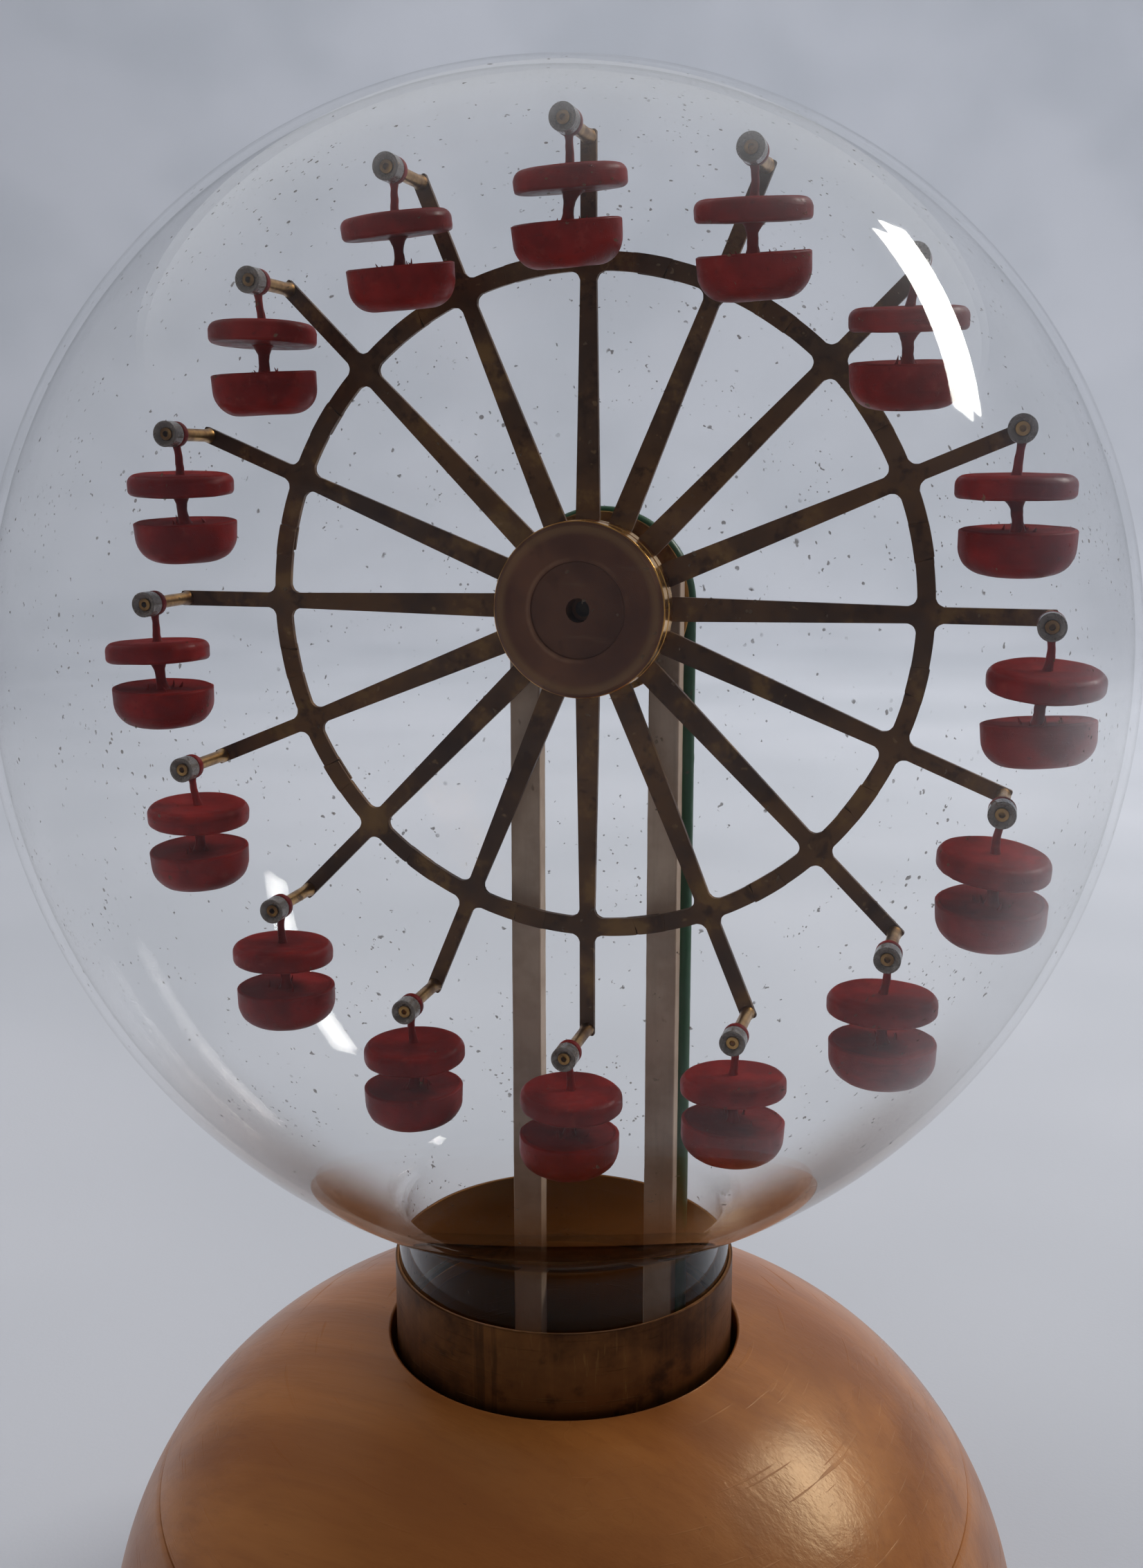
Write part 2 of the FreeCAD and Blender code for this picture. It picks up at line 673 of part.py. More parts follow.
def spoke_blank():
    """Sheet-brass cross: a tapered spoke with two ring arms, each half as thick where it laps."""
    blank = doc.addObject("PartDesign::Body", "spoke_blank")
    sheet_half = S["sheet"] / 2
    pitch = Size("360.0", 360) / S["spoke_count"]
    root_half = S["spoke_root"] * sine(pitch / 2) / cosine(pitch / 2) - S["root_gap"]
    tip_half = S["tip_width"] / 2
    arm_in = S["ring_radius"] - S["ring_width"] / 2
    arm_out = S["ring_radius"] + S["ring_width"] / 2
    lap = S["lap_length"] / S["ring_radius"] * (180 / math.pi)
    full = pitch / 2 - lap / 2
    far = pitch / 2 + lap / 2
    joined = full - LAP_ROOT
    blade = [
        (-root_half, S["spoke_root"]),
        (root_half, S["spoke_root"]),
        (tip_half, S["spoke_tip"]),
        (-tip_half, S["spoke_tip"]),
    ]
    drawing = outline(blank, "blade", "XZ_Plane", blade)
    extrude(blank, "Pad", drawing, "blade_pad", S["sheet"], centred=True)

    def band(start, end):
        return [
            (arm_in * sine(start), arm_in * cosine(start), arm_in, 1),
            (arm_in * sine(end), arm_in * cosine(end)),
            (arm_out * sine(end), arm_out * cosine(end), arm_out, -1),
            (arm_out * sine(start), arm_out * cosine(start)),
        ]

    drawing = outline(blank, "arms", "XZ_Plane", band(-full, full))
    extrude(blank, "Pad", drawing, "arms_pad", S["sheet"], centred=True)
    drawing = outline(blank, "front_lap", "XZ_Plane", band(joined, far))
    extrude(blank, "Pad", drawing, "front_lap_pad", sheet_half)
    drawing = outline(blank, "rear_lap", "XZ_Plane", band(-far, -joined))
    lap_pad = extrude(blank, "Pad", drawing, "rear_lap_pad", sheet_half, backwards=True)
    doc.recompute()
    corners = []
    for number, edge in enumerate(lap_pad.Shape.Edges, start=1):
        start, end = edge.Vertexes[0].Point, edge.Vertexes[-1].Point
        along = math.hypot(start.x - end.x, start.z - end.z) < SAME
        beside = abs(start.x) < root_half.value * 2
        level = math.hypot(start.x, start.z)
        crossing = min(abs(level - arm_in.value), abs(level - arm_out.value)) < SAME
        if along and beside and crossing:
            corners.append(f"Edge{number}")
    fillet = blank.newObject("PartDesign::Fillet", "crossing_fillets")
    fillet.Base = (lap_pad, corners)
    fillet.setExpression("Radius", S["crossing_fillet"].text)
    return blank


def pin_centre(index):
    """Centre of one hanger pin in the wheel's plane; index 0 is at the top, clockwise."""
    angle = 360.0 * index / int(S["spoke_count"].value)
    reach = S["spoke_tip"].value - S["pin_inset"].value
    x = reach * math.sin(math.radians(angle))
    z = reach * math.cos(math.radians(angle))
    return angle, x, z


def spokes():
    blank = spoke_blank()
    for index in range(int(S["spoke_count"].value)):
        angle = pin_centre(index)[0]
        spoke = doc.addObject("Part::Compound", f"spoke_{index + 1:02d}")
        spoke.Label = spoke.Name
        spoke.Links = [blank]
        keep(spoke, at(axle_x, axle_y, S["wheel_height"], FreeCAD.Rotation(Y_AXIS, angle)))


def pin_group(name, section):
    """One turned blank repeated at every spoke tip."""
    blank = doc.addObject("PartDesign::Body", f"{name}_blank")
    turned(blank, outline(blank, f"{name}_section", "XY_Plane", section), f"{name}_turning")
    copies = []
    for index in range(int(S["spoke_count"].value)):
        x, z = pin_centre(index)[1:]
        copy = doc.addObject("Part::Compound", f"{name}_{index + 1:02d}")
        copy.Links = [blank]
        copy.Placement = at(x, 0, z)
        copies.append(copy)
    group = doc.addObject("Part::Compound", name)
    group.Label = name
    group.Links = copies
    keep(group, wheel_place)


def hanger_pins():
    """Round pins soldered to the front of the spoke tips."""
    radius = S["pin_radius"]
    back = -S["sheet"] / 2
    front = -S["pin_reach"]
    solder = S["solder_fillet"]
    section = [
        (ZERO, front + S["pin_hole_depth"]),
        (S["pin_hole"], front + S["pin_hole_depth"]),
        (S["pin_hole"], front),
        (radius, front),
        (radius, back - solder * 3),
        (radius + solder, back),
        (ZERO, back),
    ]
    pin_group("hanger_pins", section)


def pin_caps():
    """Clear caps pushed on the pins, with a dished end."""
    front = -S["pin_reach"] - S["cap_overhang"]
    radius = S["pin_radius"]
    section = [
        (radius, front + S["cap_dish"]),
        (S["cap_radius"] - S["cap_edge"], front),
        (S["cap_radius"], front),
        (S["cap_radius"], front + S["cap_length"]),
        (radius, front + S["cap_length"]),
    ]
    pin_group("pin_caps", section)


def gondola_blank():
    """Eye, stem, pillow roof, middle post and tub, moulded in one."""
    blank = doc.addObject("PartDesign::Body", "gondola_blank")
    top = -S["roof_drop"]
    roof_low = top - S["roof_thickness"]
    tub_top = roof_low - S["post_gap"]
    tub_low = tub_top - S["tub_depth"]
    stem = S["stem_radius"]
    roof = S["roof_radius"]
    edge = S["roof_round"]
    middle = S["middle_radius"]
    tub = S["tub_radius"]
    base = S["tub_round"]
    lip = tub - S["tub_lip"]
    eye_hole = S["pin_radius"] + S["eye_clearance"]
    stem_top = -(eye_hole + S["eye_radius"]) / 2
    steps = [
        (ZERO, stem_top),
        (stem, stem_top),
        (stem, top + S["stem_root"]),
        (stem + S["stem_root"], top),
        (roof - edge, top, edge, 1),
        (roof, top - edge),
        (roof, roof_low + edge, edge, 1),
        (roof - edge, roof_low),
        (middle, roof_low),
        (middle, tub_top - S["tub_recess"]),
        (lip, tub_top - S["tub_recess"]),
        (lip, tub_top),
        (tub, tub_top),
        (tub, tub_low + base, base, 1),
        (tub - base, tub_low),
        (ZERO, tub_low),
    ]
    turned(blank, outline(blank, "gondola_section", "XZ_Plane", steps), "gondola_turning")
    ring = rings(blank, "eye_outside", "XZ_Plane", [(ZERO, ZERO, S["eye_radius"])])
    extrude(blank, "Pad", ring, "eye_pad", S["eye_thickness"], centred=True)
    bore = rings(blank, "eye_bore", "XZ_Plane", [(ZERO, ZERO, eye_hole)])
    extrude(blank, "Pocket", bore, "eye_hole", S["roof_radius"] * 2, centred=True)
    return blank


def gondolas():
    blank = gondola_blank()
    behind_cap = S["eye_side_gap"] + S["eye_thickness"] / 2 + S["cap_length"] - S["cap_overhang"]
    for index in range(int(S["spoke_count"].value)):
        x, z = pin_centre(index)[1:]
        gondola = doc.addObject("Part::Compound", f"gondola_{index + 1:02d}")
        gondola.Label = gondola.Name
        gondola.Links = [blank]
        keep(gondola, at(axle_x + x, axle_y - S["pin_reach"] + behind_cap, S["wheel_height"] + z))


# ---------------------------------------------------------------- axle, bearing and posts

def axle():
    """Steel axle from the hub to the back of the pulley."""
    rod = body("axle")
    front = -S["sheet"] / 2 - S["hub_depth"] + S["hub_eye_depth"]
    back = S["boss_back"]
    radius = S["axle_radius"]
    steps = [(ZERO, front), (radius, front), (radius, back), (ZERO, back)]
    turned(rod, outline(rod, "axle_section", "XY_Plane", steps), "axle_turning")
    keep(rod, wheel_place)


def axle_bush():
    """Flanged bush pressed into the block from the front."""
    bush = body("axle_bush")
    bore = S["axle_radius"] + S["running_gap"]
    front = S["post_front"]
    steps = [
        (bore, front - S["flange_lip"]),
        (S["bush_flange"], front - S["flange_lip"]),
        (S["bush_flange"], front),
        (S["bush_radius"], front),
        (S["bush_radius"], front + S["post_depth"]),
        (bore, front + S["post_depth"]),
    ]
    turned(bush, outline(bush, "bush_section", "XY_Plane", steps), "bush_turning")
    keep(bush, wheel_place)


def bearing_block():
    """Block between the post tops."""
    block = body("bearing_block")
    half = S["post_span"] / 2 - S["post_width"]
    tall = S["block_height"] / 2
    face = -S["post_front"]
    drawing = box_outline(block, "block_face", "XZ_Plane", -half, half, -tall, tall, face)
    extrude(block, "Pad", drawing, "block_pad", S["post_depth"], backwards=True)
    bore = rings(block, "block_bore", "XZ_Plane", [(ZERO, ZERO, S["bush_radius"])], face)
    extrude(block, "Pocket", bore, "block_hole", S["post_depth"])
    keep(block, wheel_place)


def upright_edges(shape):
    """Names of the edges that run along Z."""
    names = []
    for number, edge in enumerate(shape.Edges, start=1):
        run = edge.Vertexes[-1].Point - edge.Vertexes[0].Point
        if math.hypot(run.x, run.y) < SAME:
            names.append(f"Edge{number}")
    return names


def posts():
    """Two square bars from the foot to just above the axle."""
    low = S["deck_top"] + S["foot_height"] - S["mortise_depth"] - S["wheel_height"]
    for name, side in (("post_left", -1), ("post_right", 1)):
        post = body(name)
        outside = S["post_span"] / 2 * side
        inside = outside - S["post_width"] * side
        left, right = (outside, inside) if side < 0 else (inside, outside)
        front = S["post_front"]
        drawing = box_outline(post, f"{name}_section", "XY_Plane", left, right, front,
                              front + S["post_depth"], low)
        bar = extrude(post, "Pad", drawing, f"{name}_bar", S["post_above"] - low)
        doc.recompute()
        easing = post.newObject("PartDesign::Chamfer", f"{name}_easing")
        easing.Base = (bar, upright_edges(bar.Shape))
        easing.setExpression("Size", S["post_easing"].text)
        keep(post, wheel_place)


def tower_foot():
    """Foot block with a mortise for each post."""
    foot = body("tower_foot")
    half = S["post_span"] / 2 + S["foot_side"]
    front = S["post_front"] - S["foot_wall"]
    back = S["post_front"] + S["post_depth"] + S["foot_wall"]
    low = S["deck_top"] - S["wheel_height"]
    top = low + S["foot_height"]
    plan = box_outline(foot, "foot_plan", "XY_Plane", -half, half, front, back, low)
    extrude(foot, "Pad", plan, "foot_pad", S["foot_height"])
    easing = S["fit_gap"] / 2
    for name, side in (("left", -1), ("right", 1)):
        outside = S["post_span"] / 2 * side + easing * side
        inside = (S["post_span"] / 2 - S["post_width"] - easing) * side
        left, right = (outside, inside) if side < 0 else (inside, outside)
        mortise = box_outline(foot, f"{name}_mortise", "XY_Plane", left, right,
                              S["post_front"] - easing, S["post_front"] + S["post_depth"] + easing, top)
        extrude(foot, "Pocket", mortise, f"{name}_mortise_cut", S["mortise_depth"])
    keep(foot, wheel_place)


# ---------------------------------------------------------------- pulleys, belt and motor

def pulley(name, bore, place):
    """Round-grooved pulley with a boss behind."""
    made = body(name)
    front = S["pulley_front"]
    back = front + S["pulley_width"]
    outer = S["pulley_radius"]
    groove = S["belt_radius"] + S["groove_clearance"]
    root_radius = S["belt_path"]
    middle = S["belt_plane"]
    web_in = S["pulley_boss"] + S["web_edge"]
    web_out = root_radius - groove - S["web_edge"]
    floor = front + S["web_recess"]
    steps = [
        (bore, front),
        (web_in, front),
        (web_in, floor),
        (web_out, floor),
        (web_out, front),
        (outer, front),
        (outer, middle - groove),
        (root_radius, middle - groove, groove, 1),
        (root_radius - groove, middle, groove, 1),
        (root_radius, middle + groove),
        (outer, middle + groove),
        (outer, back),
        (S["pulley_boss"], back),
        (S["pulley_boss"], S["boss_back"]),
        (bore, S["boss_back"]),
    ]
    turned(made, outline(made, f"{name}_section", "XY_Plane", steps), f"{name}_turning")
    keep(made, place)


def drive_belt():
    """Endless round belt: two straight runs and a half turn round each pulley."""
    belt = body("drive_belt")
    path = belt.newObject("Sketcher::SketchObject", "belt_path_line")
    plane = [item for item in belt.Origin.OriginFeatures if item.Role == "XZ_Plane"][0]
    path.AttachmentSupport = (plane, [""])
    path.MapMode = "FlatFace"
    path.setExpression("AttachmentOffset.Base.z", (-S["belt_plane"]).text)
    reach = S["belt_path"]
    low = S["drive_height"] - S["wheel_height"]
    path.addGeometry(Part.LineSegment(V(reach.value, low.value, 0), V(reach.value, 0, 0)))
    path.addGeometry(Part.ArcOfCircle(Part.Circle(V(0, 0, 0), Z_AXIS, reach.value), 0, math.pi))
    path.addGeometry(Part.LineSegment(V(-reach.value, 0, 0), V(-reach.value, low.value, 0)))
    path.addGeometry(
        Part.ArcOfCircle(Part.Circle(V(0, low.value, 0), Z_AXIS, reach.value), math.pi, 2 * math.pi)
    )
    joins = ((0, 2, 1, 1), (1, 2, 2, 1), (2, 2, 3, 1), (3, 2, 0, 1))
    for join in joins:
        path.addConstraint(Sketcher.Constraint("Coincident", *join))
    bind(path, "DistanceX", 0, 1, reach)
    bind(path, "DistanceY", 0, 1, low)
    bind(path, "DistanceX", 0, 2, reach)
    bind(path, "DistanceY", 0, 2, ZERO)
    bind(path, "DistanceX", 2, 1, -reach)
    bind(path, "DistanceY", 2, 1, ZERO)
    bind(path, "DistanceX", 2, 2, -reach)
    bind(path, "DistanceY", 2, 2, low)
    bind(path, "DistanceY", 1, 3, ZERO)
    bind(path, "DistanceY", 3, 3, low)
    cord = rings(belt, "belt_section", "XY_Plane", [(reach, S["belt_plane"], S["belt_radius"])], low)
    pipe = belt.newObject("PartDesign::AdditivePipe", "belt_cord")
    pipe.Profile = cord
    pipe.Spine = (path, ["Edge1", "Edge2", "Edge3", "Edge4"])
    keep(belt, wheel_place)


def motor_shaft():
    """Output shaft of the geared motor, through the drive pulley."""
    shaft = body("motor_shaft")
    front = S["pulley_front"]
    back = S["gearbox_front"] + S["shaft_pocket"] - S["shaft_end"]
    radius = S["shaft_radius"]
    steps = [(ZERO, front), (radius, front), (radius, back), (ZERO, back)]
    turned(shaft, outline(shaft, "shaft_section", "XY_Plane", steps), "shaft_turning")
    keep(shaft, drive_place)


def gear_motor():
    """Gearbox and motor can, in one closed unit behind the bracket."""
    motor = body("gear_motor")
    bore = S["shaft_radius"] + S["running_gap"]
    front = S["gearbox_front"]
    gearbox_back = front + S["gearbox_length"]
    back = S["motor_back"]
    pocket = front + S["shaft_pocket"]
    steps = [
        (bore, front),
        (S["gearbox_radius"], front),
        (S["gearbox_radius"], gearbox_back),
        (S["motor_radius"], gearbox_back),
        (S["motor_radius"], back),
        (ZERO, back),
        (ZERO, pocket),
        (bore, pocket),
    ]
    turned(motor, outline(motor, "motor_section", "XY_Plane", steps), "motor_turning")
    keep(motor, drive_place)


def motor_bracket():
    """Bent plate: the upright carries the motor, the flange is screwed up under the deck."""
    bracket = body("motor_bracket")
    half = S["bracket_width"] / 2
    top = S["deck_low"] - S["drive_height"]
    low = -S["gearbox_radius"]
    thick = S["bracket_thickness"]
    front = S["bracket_front"]
    upright = box_outline(bracket, "upright", "XZ_Plane", -half, half, low, top, -front)
    extrude(bracket, "Pad", upright, "upright_plate", thick, backwards=True)
    back = S["gearbox_front"] + S["bracket_foot"]
    flange = box_outline(bracket, "flange", "XY_Plane", -half, half, front, back, top - thick)
    extrude(bracket, "Pad", flange, "flange_plate", thick)
    hole = S["shaft_radius"] + S["bracket_gap"]
    bore = rings(bracket, "shaft_bore", "XZ_Plane", [(ZERO, ZERO, hole)], -front)
    extrude(bracket, "Pocket", bore, "shaft_hole", thick * 2, centred=True)
    seats = [(x - axle_x, y - axle_y, radius) for x, y, radius in bracket_holes(S["loose"])]
    drilled = rings(bracket, "screw_seats", "XY_Plane", seats, top)
    extrude(bracket, "Pocket", drilled, "screw_holes", thick * 2)
    keep(bracket, drive_place)


def battery_box():
    """Open tray for two cells, fixed on the cover."""
    tray = body("battery_box")
    wall = S["box_wall"]
    half = S["cell_length"] / 2 + wall + S["fit_gap"]
    deep = S["cell_radius"] * 2 + wall + S["fit_gap"] * 2
    tall = S["box_height"]
    floor = S["cover_height"]
    plan = box_outline(tray, "tray_plan", "XY_Plane", -half, half, -deep, deep, floor)
    extrude(tray, "Pad", plan, "tray_block", tall + wall)
    room = box_outline(tray, "tray_room", "XY_Plane", wall - half, half - wall, wall - deep, deep - wall,
                       floor + wall + tall)
    extrude(tray, "Pocket", room, "tray_hollow", tall)
    keep(tray, at(0, -S["box_forward"], 0))


def battery_cells():
    """Two round cells side by side."""
    cells = body("battery_cells")
    wall = S["box_wall"]
    level = S["cover_height"] + wall + S["cell_radius"] + S["fit_gap"]
    apart = S["cell_radius"] + S["fit_gap"] / 2
    ends = [(-apart, level, S["cell_radius"]), (apart, level, S["cell_radius"])]
    drawing = rings(cells, "cell_ends", "YZ_Plane", ends)
    pad = extrude(cells, "Pad", drawing, "cell_pad", S["cell_length"], centred=True)
    pad.AllowMultiFace = True
    keep(cells, at(0, -S["box_forward"], 0))


def switch_case():
    """Slide switch on the inside of the cover."""
    case = body("switch_case")
    half = S["switch_width"] / 2
    deep = S["switch_depth"] / 2
    wall = S["switch_wall"]
    floor = S["cover_height"]
    plan = box_outline(case, "case_plan", "XY_Plane", -half, half, -deep, deep, floor)
    extrude(case, "Pad", plan, "case_block", S["switch_height"])
    room = box_outline(case, "case_room", "XY_Plane", wall - half, half - wall, wall - deep, deep - wall, floor)
    extrude(case, "Pocket", room, "case_hollow", S["switch_height"] - wall, backwards=True)
    keep(case, at(0, -S["switch_forward"], 0))


def switch_knob():
    """Knob that slides left and right, recessed behind the cover's face."""
    knob = body("switch_knob")
    half = S["knob_width"] / 2
    deep = S["knob_depth"] / 2
    low = S["cover_low"] + S["knob_recess"]
    tall = S["cover_thickness"] - S["knob_recess"] + S["knob_lift"]
    left = -S["knob_travel"] / 2
    plan = box_outline(knob, "knob_plan", "XY_Plane", left - half, left + half, -deep, deep, low)
    extrude(knob, "Pad", plan, "knob_block", tall)
    keep(knob, at(0, -S["switch_forward"], 0))


# ---------------------------------------------------------------- screws

def screws():
    """Ten like wood screws: collar flange, bottom cover and motor bracket."""
    blank = doc.addObject("PartDesign::Body", "screw_blank")
    shank = S["screw_radius"]
    head = S["screw_head"]
    high = S["screw_head_height"]
    length = S["screw_length"]
    steps = [(ZERO, -length), (shank, -length), (shank, ZERO), (head, ZERO), (head, high), (ZERO, high)]
    turned(blank, outline(blank, "screw_section", "XZ_Plane", steps), "screw_turning")
    upward = FreeCAD.Rotation(X_AXIS, 180)
    flange_top = S["deck_top"] + S["flange_thickness"]
    under_bracket = S["deck_low"] - S["bracket_thickness"]
    seats = [at(x, y, flange_top) for x, y, _ in flange_holes(shank)]
    seats += [at(x, y, S["cover_low"], upward) for x, y, _ in cover_holes(shank)]
    seats += [at(x, y, under_bracket, upward) for x, y, _ in bracket_holes(shank)]
    copies = []
    for number, seat in enumerate(seats, start=1):
        copy = doc.addObject("Part::Compound", f"screw_{number:02d}")
        copy.Links = [blank]
        copy.Placement = seat
        copies.append(copy)
    group = doc.addObject("Part::Compound", "screws")
    group.Label = "screws"
    group.Links = copies
    keep(group)


# ---------------------------------------------------------------- build

glass_globe()
brass_collar()
neck_gasket()
base_lid()
base_bowl()
deck()
bottom_cover()
hub_drum()
hub_plate()
spokes()
hanger_pins()
pin_caps()
gondolas()
axle()
axle_bush()
bearing_block()
posts()
tower_foot()
pulley("wheel_pulley", S["axle_radius"], wheel_place)
pulley("drive_pulley", S["shaft_radius"], drive_place)
drive_belt()
motor_shaft()
gear_motor()
motor_bracket()
battery_box()
battery_cells()
switch_case()
switch_knob()
screws()

doc.recompute()
for item in doc.Objects:
    if "Invalid" in item.State or "Error" in item.State:
        raise RuntimeError(f"{item.Name} did not recompute: {item.State}")
for part in PARTS:
    if part.Shape.isNull() or not part.Shape.isValid():
        raise RuntimeError(f"{part.Label} has no valid shape")

os.makedirs("parts", exist_ok=True)
for part in PARTS:
    part.Shape.exportStep(f"parts/{part.Label}.step")
print(len(PARTS), "parts written")
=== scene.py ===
import json
import math
import random

import bmesh
import bpy
from mathutils import Euler, Matrix, Vector, noise


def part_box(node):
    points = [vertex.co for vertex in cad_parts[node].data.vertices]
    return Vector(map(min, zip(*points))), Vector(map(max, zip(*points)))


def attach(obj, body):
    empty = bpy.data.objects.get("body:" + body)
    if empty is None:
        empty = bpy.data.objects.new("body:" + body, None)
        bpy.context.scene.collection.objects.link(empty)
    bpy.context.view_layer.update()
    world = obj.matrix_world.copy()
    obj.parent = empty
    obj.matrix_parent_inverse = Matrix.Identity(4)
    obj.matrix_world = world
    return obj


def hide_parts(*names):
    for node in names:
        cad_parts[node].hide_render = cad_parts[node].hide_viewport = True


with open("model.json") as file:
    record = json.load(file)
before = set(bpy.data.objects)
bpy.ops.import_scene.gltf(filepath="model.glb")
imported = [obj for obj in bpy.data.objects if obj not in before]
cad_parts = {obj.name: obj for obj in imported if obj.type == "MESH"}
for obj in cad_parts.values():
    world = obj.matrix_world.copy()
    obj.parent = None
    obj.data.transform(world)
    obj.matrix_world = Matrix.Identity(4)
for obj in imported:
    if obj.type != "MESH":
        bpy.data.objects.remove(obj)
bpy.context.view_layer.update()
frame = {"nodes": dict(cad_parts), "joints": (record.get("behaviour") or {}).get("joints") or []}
PINS = {joint["name"]: Vector(joint["pos_m"]) for joint in frame["joints"] if joint.get("pos_m")}
AXLE = PINS["wheel_spin"]
MM = 0.001
noise.seed_set(7)    # vector noise starts from the clock unless it is given a seed


# ---------------------------------------------------------------- turned wooden base
# Two pieces of pale close-grained hardwood, turned on a lathe and lacquered: a bowl that stands on
# its rim and holds the drive, and a dome dropped into it. A fine bevelled joint shows between them.

def arc(centre_r, centre_z, radius, first, last, steps):
    """Points of a round stretch of a profile; angles in degrees from the outward direction."""
    points = []
    for step in range(steps + 1):
        angle = math.radians(first + (last - first) * step / steps)
        points.append((centre_r + radius * math.cos(angle), centre_z + radius * math.sin(angle)))
    return points


def soften(corners, steps=4):
    """Profile from corners (r, z) or (r, z, radius); a corner with a radius is rounded."""
    points = []
    count = len(corners)
    for index, corner in enumerate(corners):
        if len(corner) == 2:
            points.append(corner)
            continue
        here = Vector(corner[:2])
        before = (Vector(corners[index - 1][:2]) - here).normalized()
        after = (Vector(corners[(index + 1) % count][:2]) - here).normalized()
        half = before.angle(after) / 2
        reach = corner[2] / math.tan(half)
        centre = here + (before + after).normalized() * (corner[2] / math.sin(half))
        start = here + before * reach - centre
        sweep = (here + after * reach - centre).angle_signed(start)
        for step in range(steps + 1):
            turn = Matrix.Rotation(sweep * step / steps, 2)
            point = centre + turn @ start
            points.append((point.x, point.y))
    return points


def mesh_piece(name, bm, smooth=40):
    """Finish a mesh: outward normals, smooth faces with crisp edges, and level shading on flats."""
    bmesh.ops.recalc_face_normals(bm, faces=bm.faces)
    data = bpy.data.meshes.new(name)
    bm.to_mesh(data)
    bm.free()
    data.shade_smooth()
    data.set_sharp_from_angle(angle=math.radians(smooth))
    piece = bpy.data.objects.new(name, data)
    bpy.context.scene.collection.objects.link(piece)
    level = piece.modifiers.new("level_shading", "WEIGHTED_NORMAL")
    level.keep_sharp = True
    return piece


def turn_into(bm, profile, rounds, place, shape=None, closed=True):
    """Turn a profile of (radius, height) about its axis and add it to bm, set by a matrix.
    shape(point, angle) may move each point a little, as hand work does."""
    rows = []
    for radius, height in profile:
        row = []
        for step in range(1 if radius < 1e-9 else rounds):
            angle = 2 * math.pi * step / rounds
            point = Vector((radius * math.cos(angle), radius * math.sin(angle), height))
            if shape:
                point = shape(point, angle)
            row.append(bm.verts.new(place @ point))
        rows.append(row)
    pairs = list(zip(rows, rows[1:]))
    if closed and len(rows[0]) > 1:
        pairs.append((rows[-1], rows[0]))
    for low, high in pairs:
        for step in range(rounds):
            following = (step + 1) % rounds
            ring = [low[step % len(low)], low[following % len(low)],
                    high[following % len(high)], high[step % len(high)]]
            corners = list(dict.fromkeys(ring))
            if len(corners) > 2:
                bm.faces.new(corners)


def turned(name, profile, rounds=160, place=None, shape=None, smooth=40):
    """A piece of its own from one turned profile."""
    bm = bmesh.new()
    turn_into(bm, profile, rounds, place or Matrix(), shape)
    return mesh_piece(name, bm, smooth)


class Shade:
    """A value that varies over a surface. Sums and products of shades add the nodes for them."""

    def __init__(self, tree, socket):
        self.tree = tree
        self.socket = socket

    def node(self, kind, settings=None, sockets=None, out=0):
        """Add a node with these settings and sockets, and give its output by number."""
        made = self.tree.nodes.new(kind)
        for name, value in (settings or {}).items():
            setattr(made, name, value)
        for name, value in (sockets or {}).items():
            if isinstance(value, Shade):
                self.tree.links.new(value.socket, made.inputs[name])
            else:
                made.inputs[name].default_value = value
        return Shade(self.tree, made.outputs[out])

    def maths(self, operation, first, second=0.0):
        return self.node("ShaderNodeMath", {"operation": operation}, {0: first, 1: second})

    def __add__(self, other):
        return self.maths("ADD", self, other)

    def __radd__(self, other):
        return self.maths("ADD", other, self)

    def __sub__(self, other):
        return self.maths("SUBTRACT", self, other)

    def __rsub__(self, other):
        return self.maths("SUBTRACT", other, self)

    def __mul__(self, other):
        return self.maths("MULTIPLY", self, other)

    def __rmul__(self, other):
        return self.maths("MULTIPLY", other, self)

    def __abs__(self):
        return self.maths("ABSOLUTE", self)

    def fade(self, low, high, start=0.0, end=1.0):
        """Eased change from start to end as the shade goes from low to high."""
        return self.node("ShaderNodeMapRange", {"interpolation_type": "SMOOTHSTEP"},
                         {"Value": self, "From Min": low, "From Max": high,
                          "To Min": start, "To Max": end})

    def blend(self, first, second):
        """Colour between first and second by this shade."""
        return self.node("ShaderNodeMix", {"data_type": "RGBA"}, {0: self, 6: first, 7: second}, out=2)

    def stretched(self, scale, turn=(0, 0, 0), shift=(0, 0, 0)):
        """This position scaled by axis, turned and shifted."""
        return self.node("ShaderNodeMapping", None, {"Vector": self, "Scale": scale, "Rotation": turn,
                                                     "Location": shift})

    def clouds(self, scale, detail=4.0, roughness=0.55, distortion=0.0):
        """Soft random patches; a larger scale makes them smaller."""
        return self.node("ShaderNodeTexNoise", None,
                         {"Vector": self, "Scale": scale, "Detail": detail, "Roughness": roughness,
                          "Distortion": distortion})

    def cells(self, scale):
        """Distance to the nearest of scattered points."""
        return self.node("ShaderNodeTexVoronoi", None, {"Vector": self, "Scale": scale})

    def part(self, axis):
        """One coordinate of a position."""
        return self.node("ShaderNodeSeparateXYZ", None, {0: self}, out="XYZ".index(axis))

    def relief(self, strength, depth):
        """Surface normal of this shade taken as height; depth in metres."""
        return self.node("ShaderNodeBump", None,
                         {"Strength": strength, "Distance": depth, "Height": self})


def tone(red, green, blue):
    """Colour as the eye reads it, 0 to 255, in the linear values that shaders use."""
    linear = []
    for level in (red, green, blue):
        level /= 255
        linear.append(level / 12.92 if level <= 0.04045 else ((level + 0.055) / 1.055) ** 2.4)
    return (*linear, 1.0)


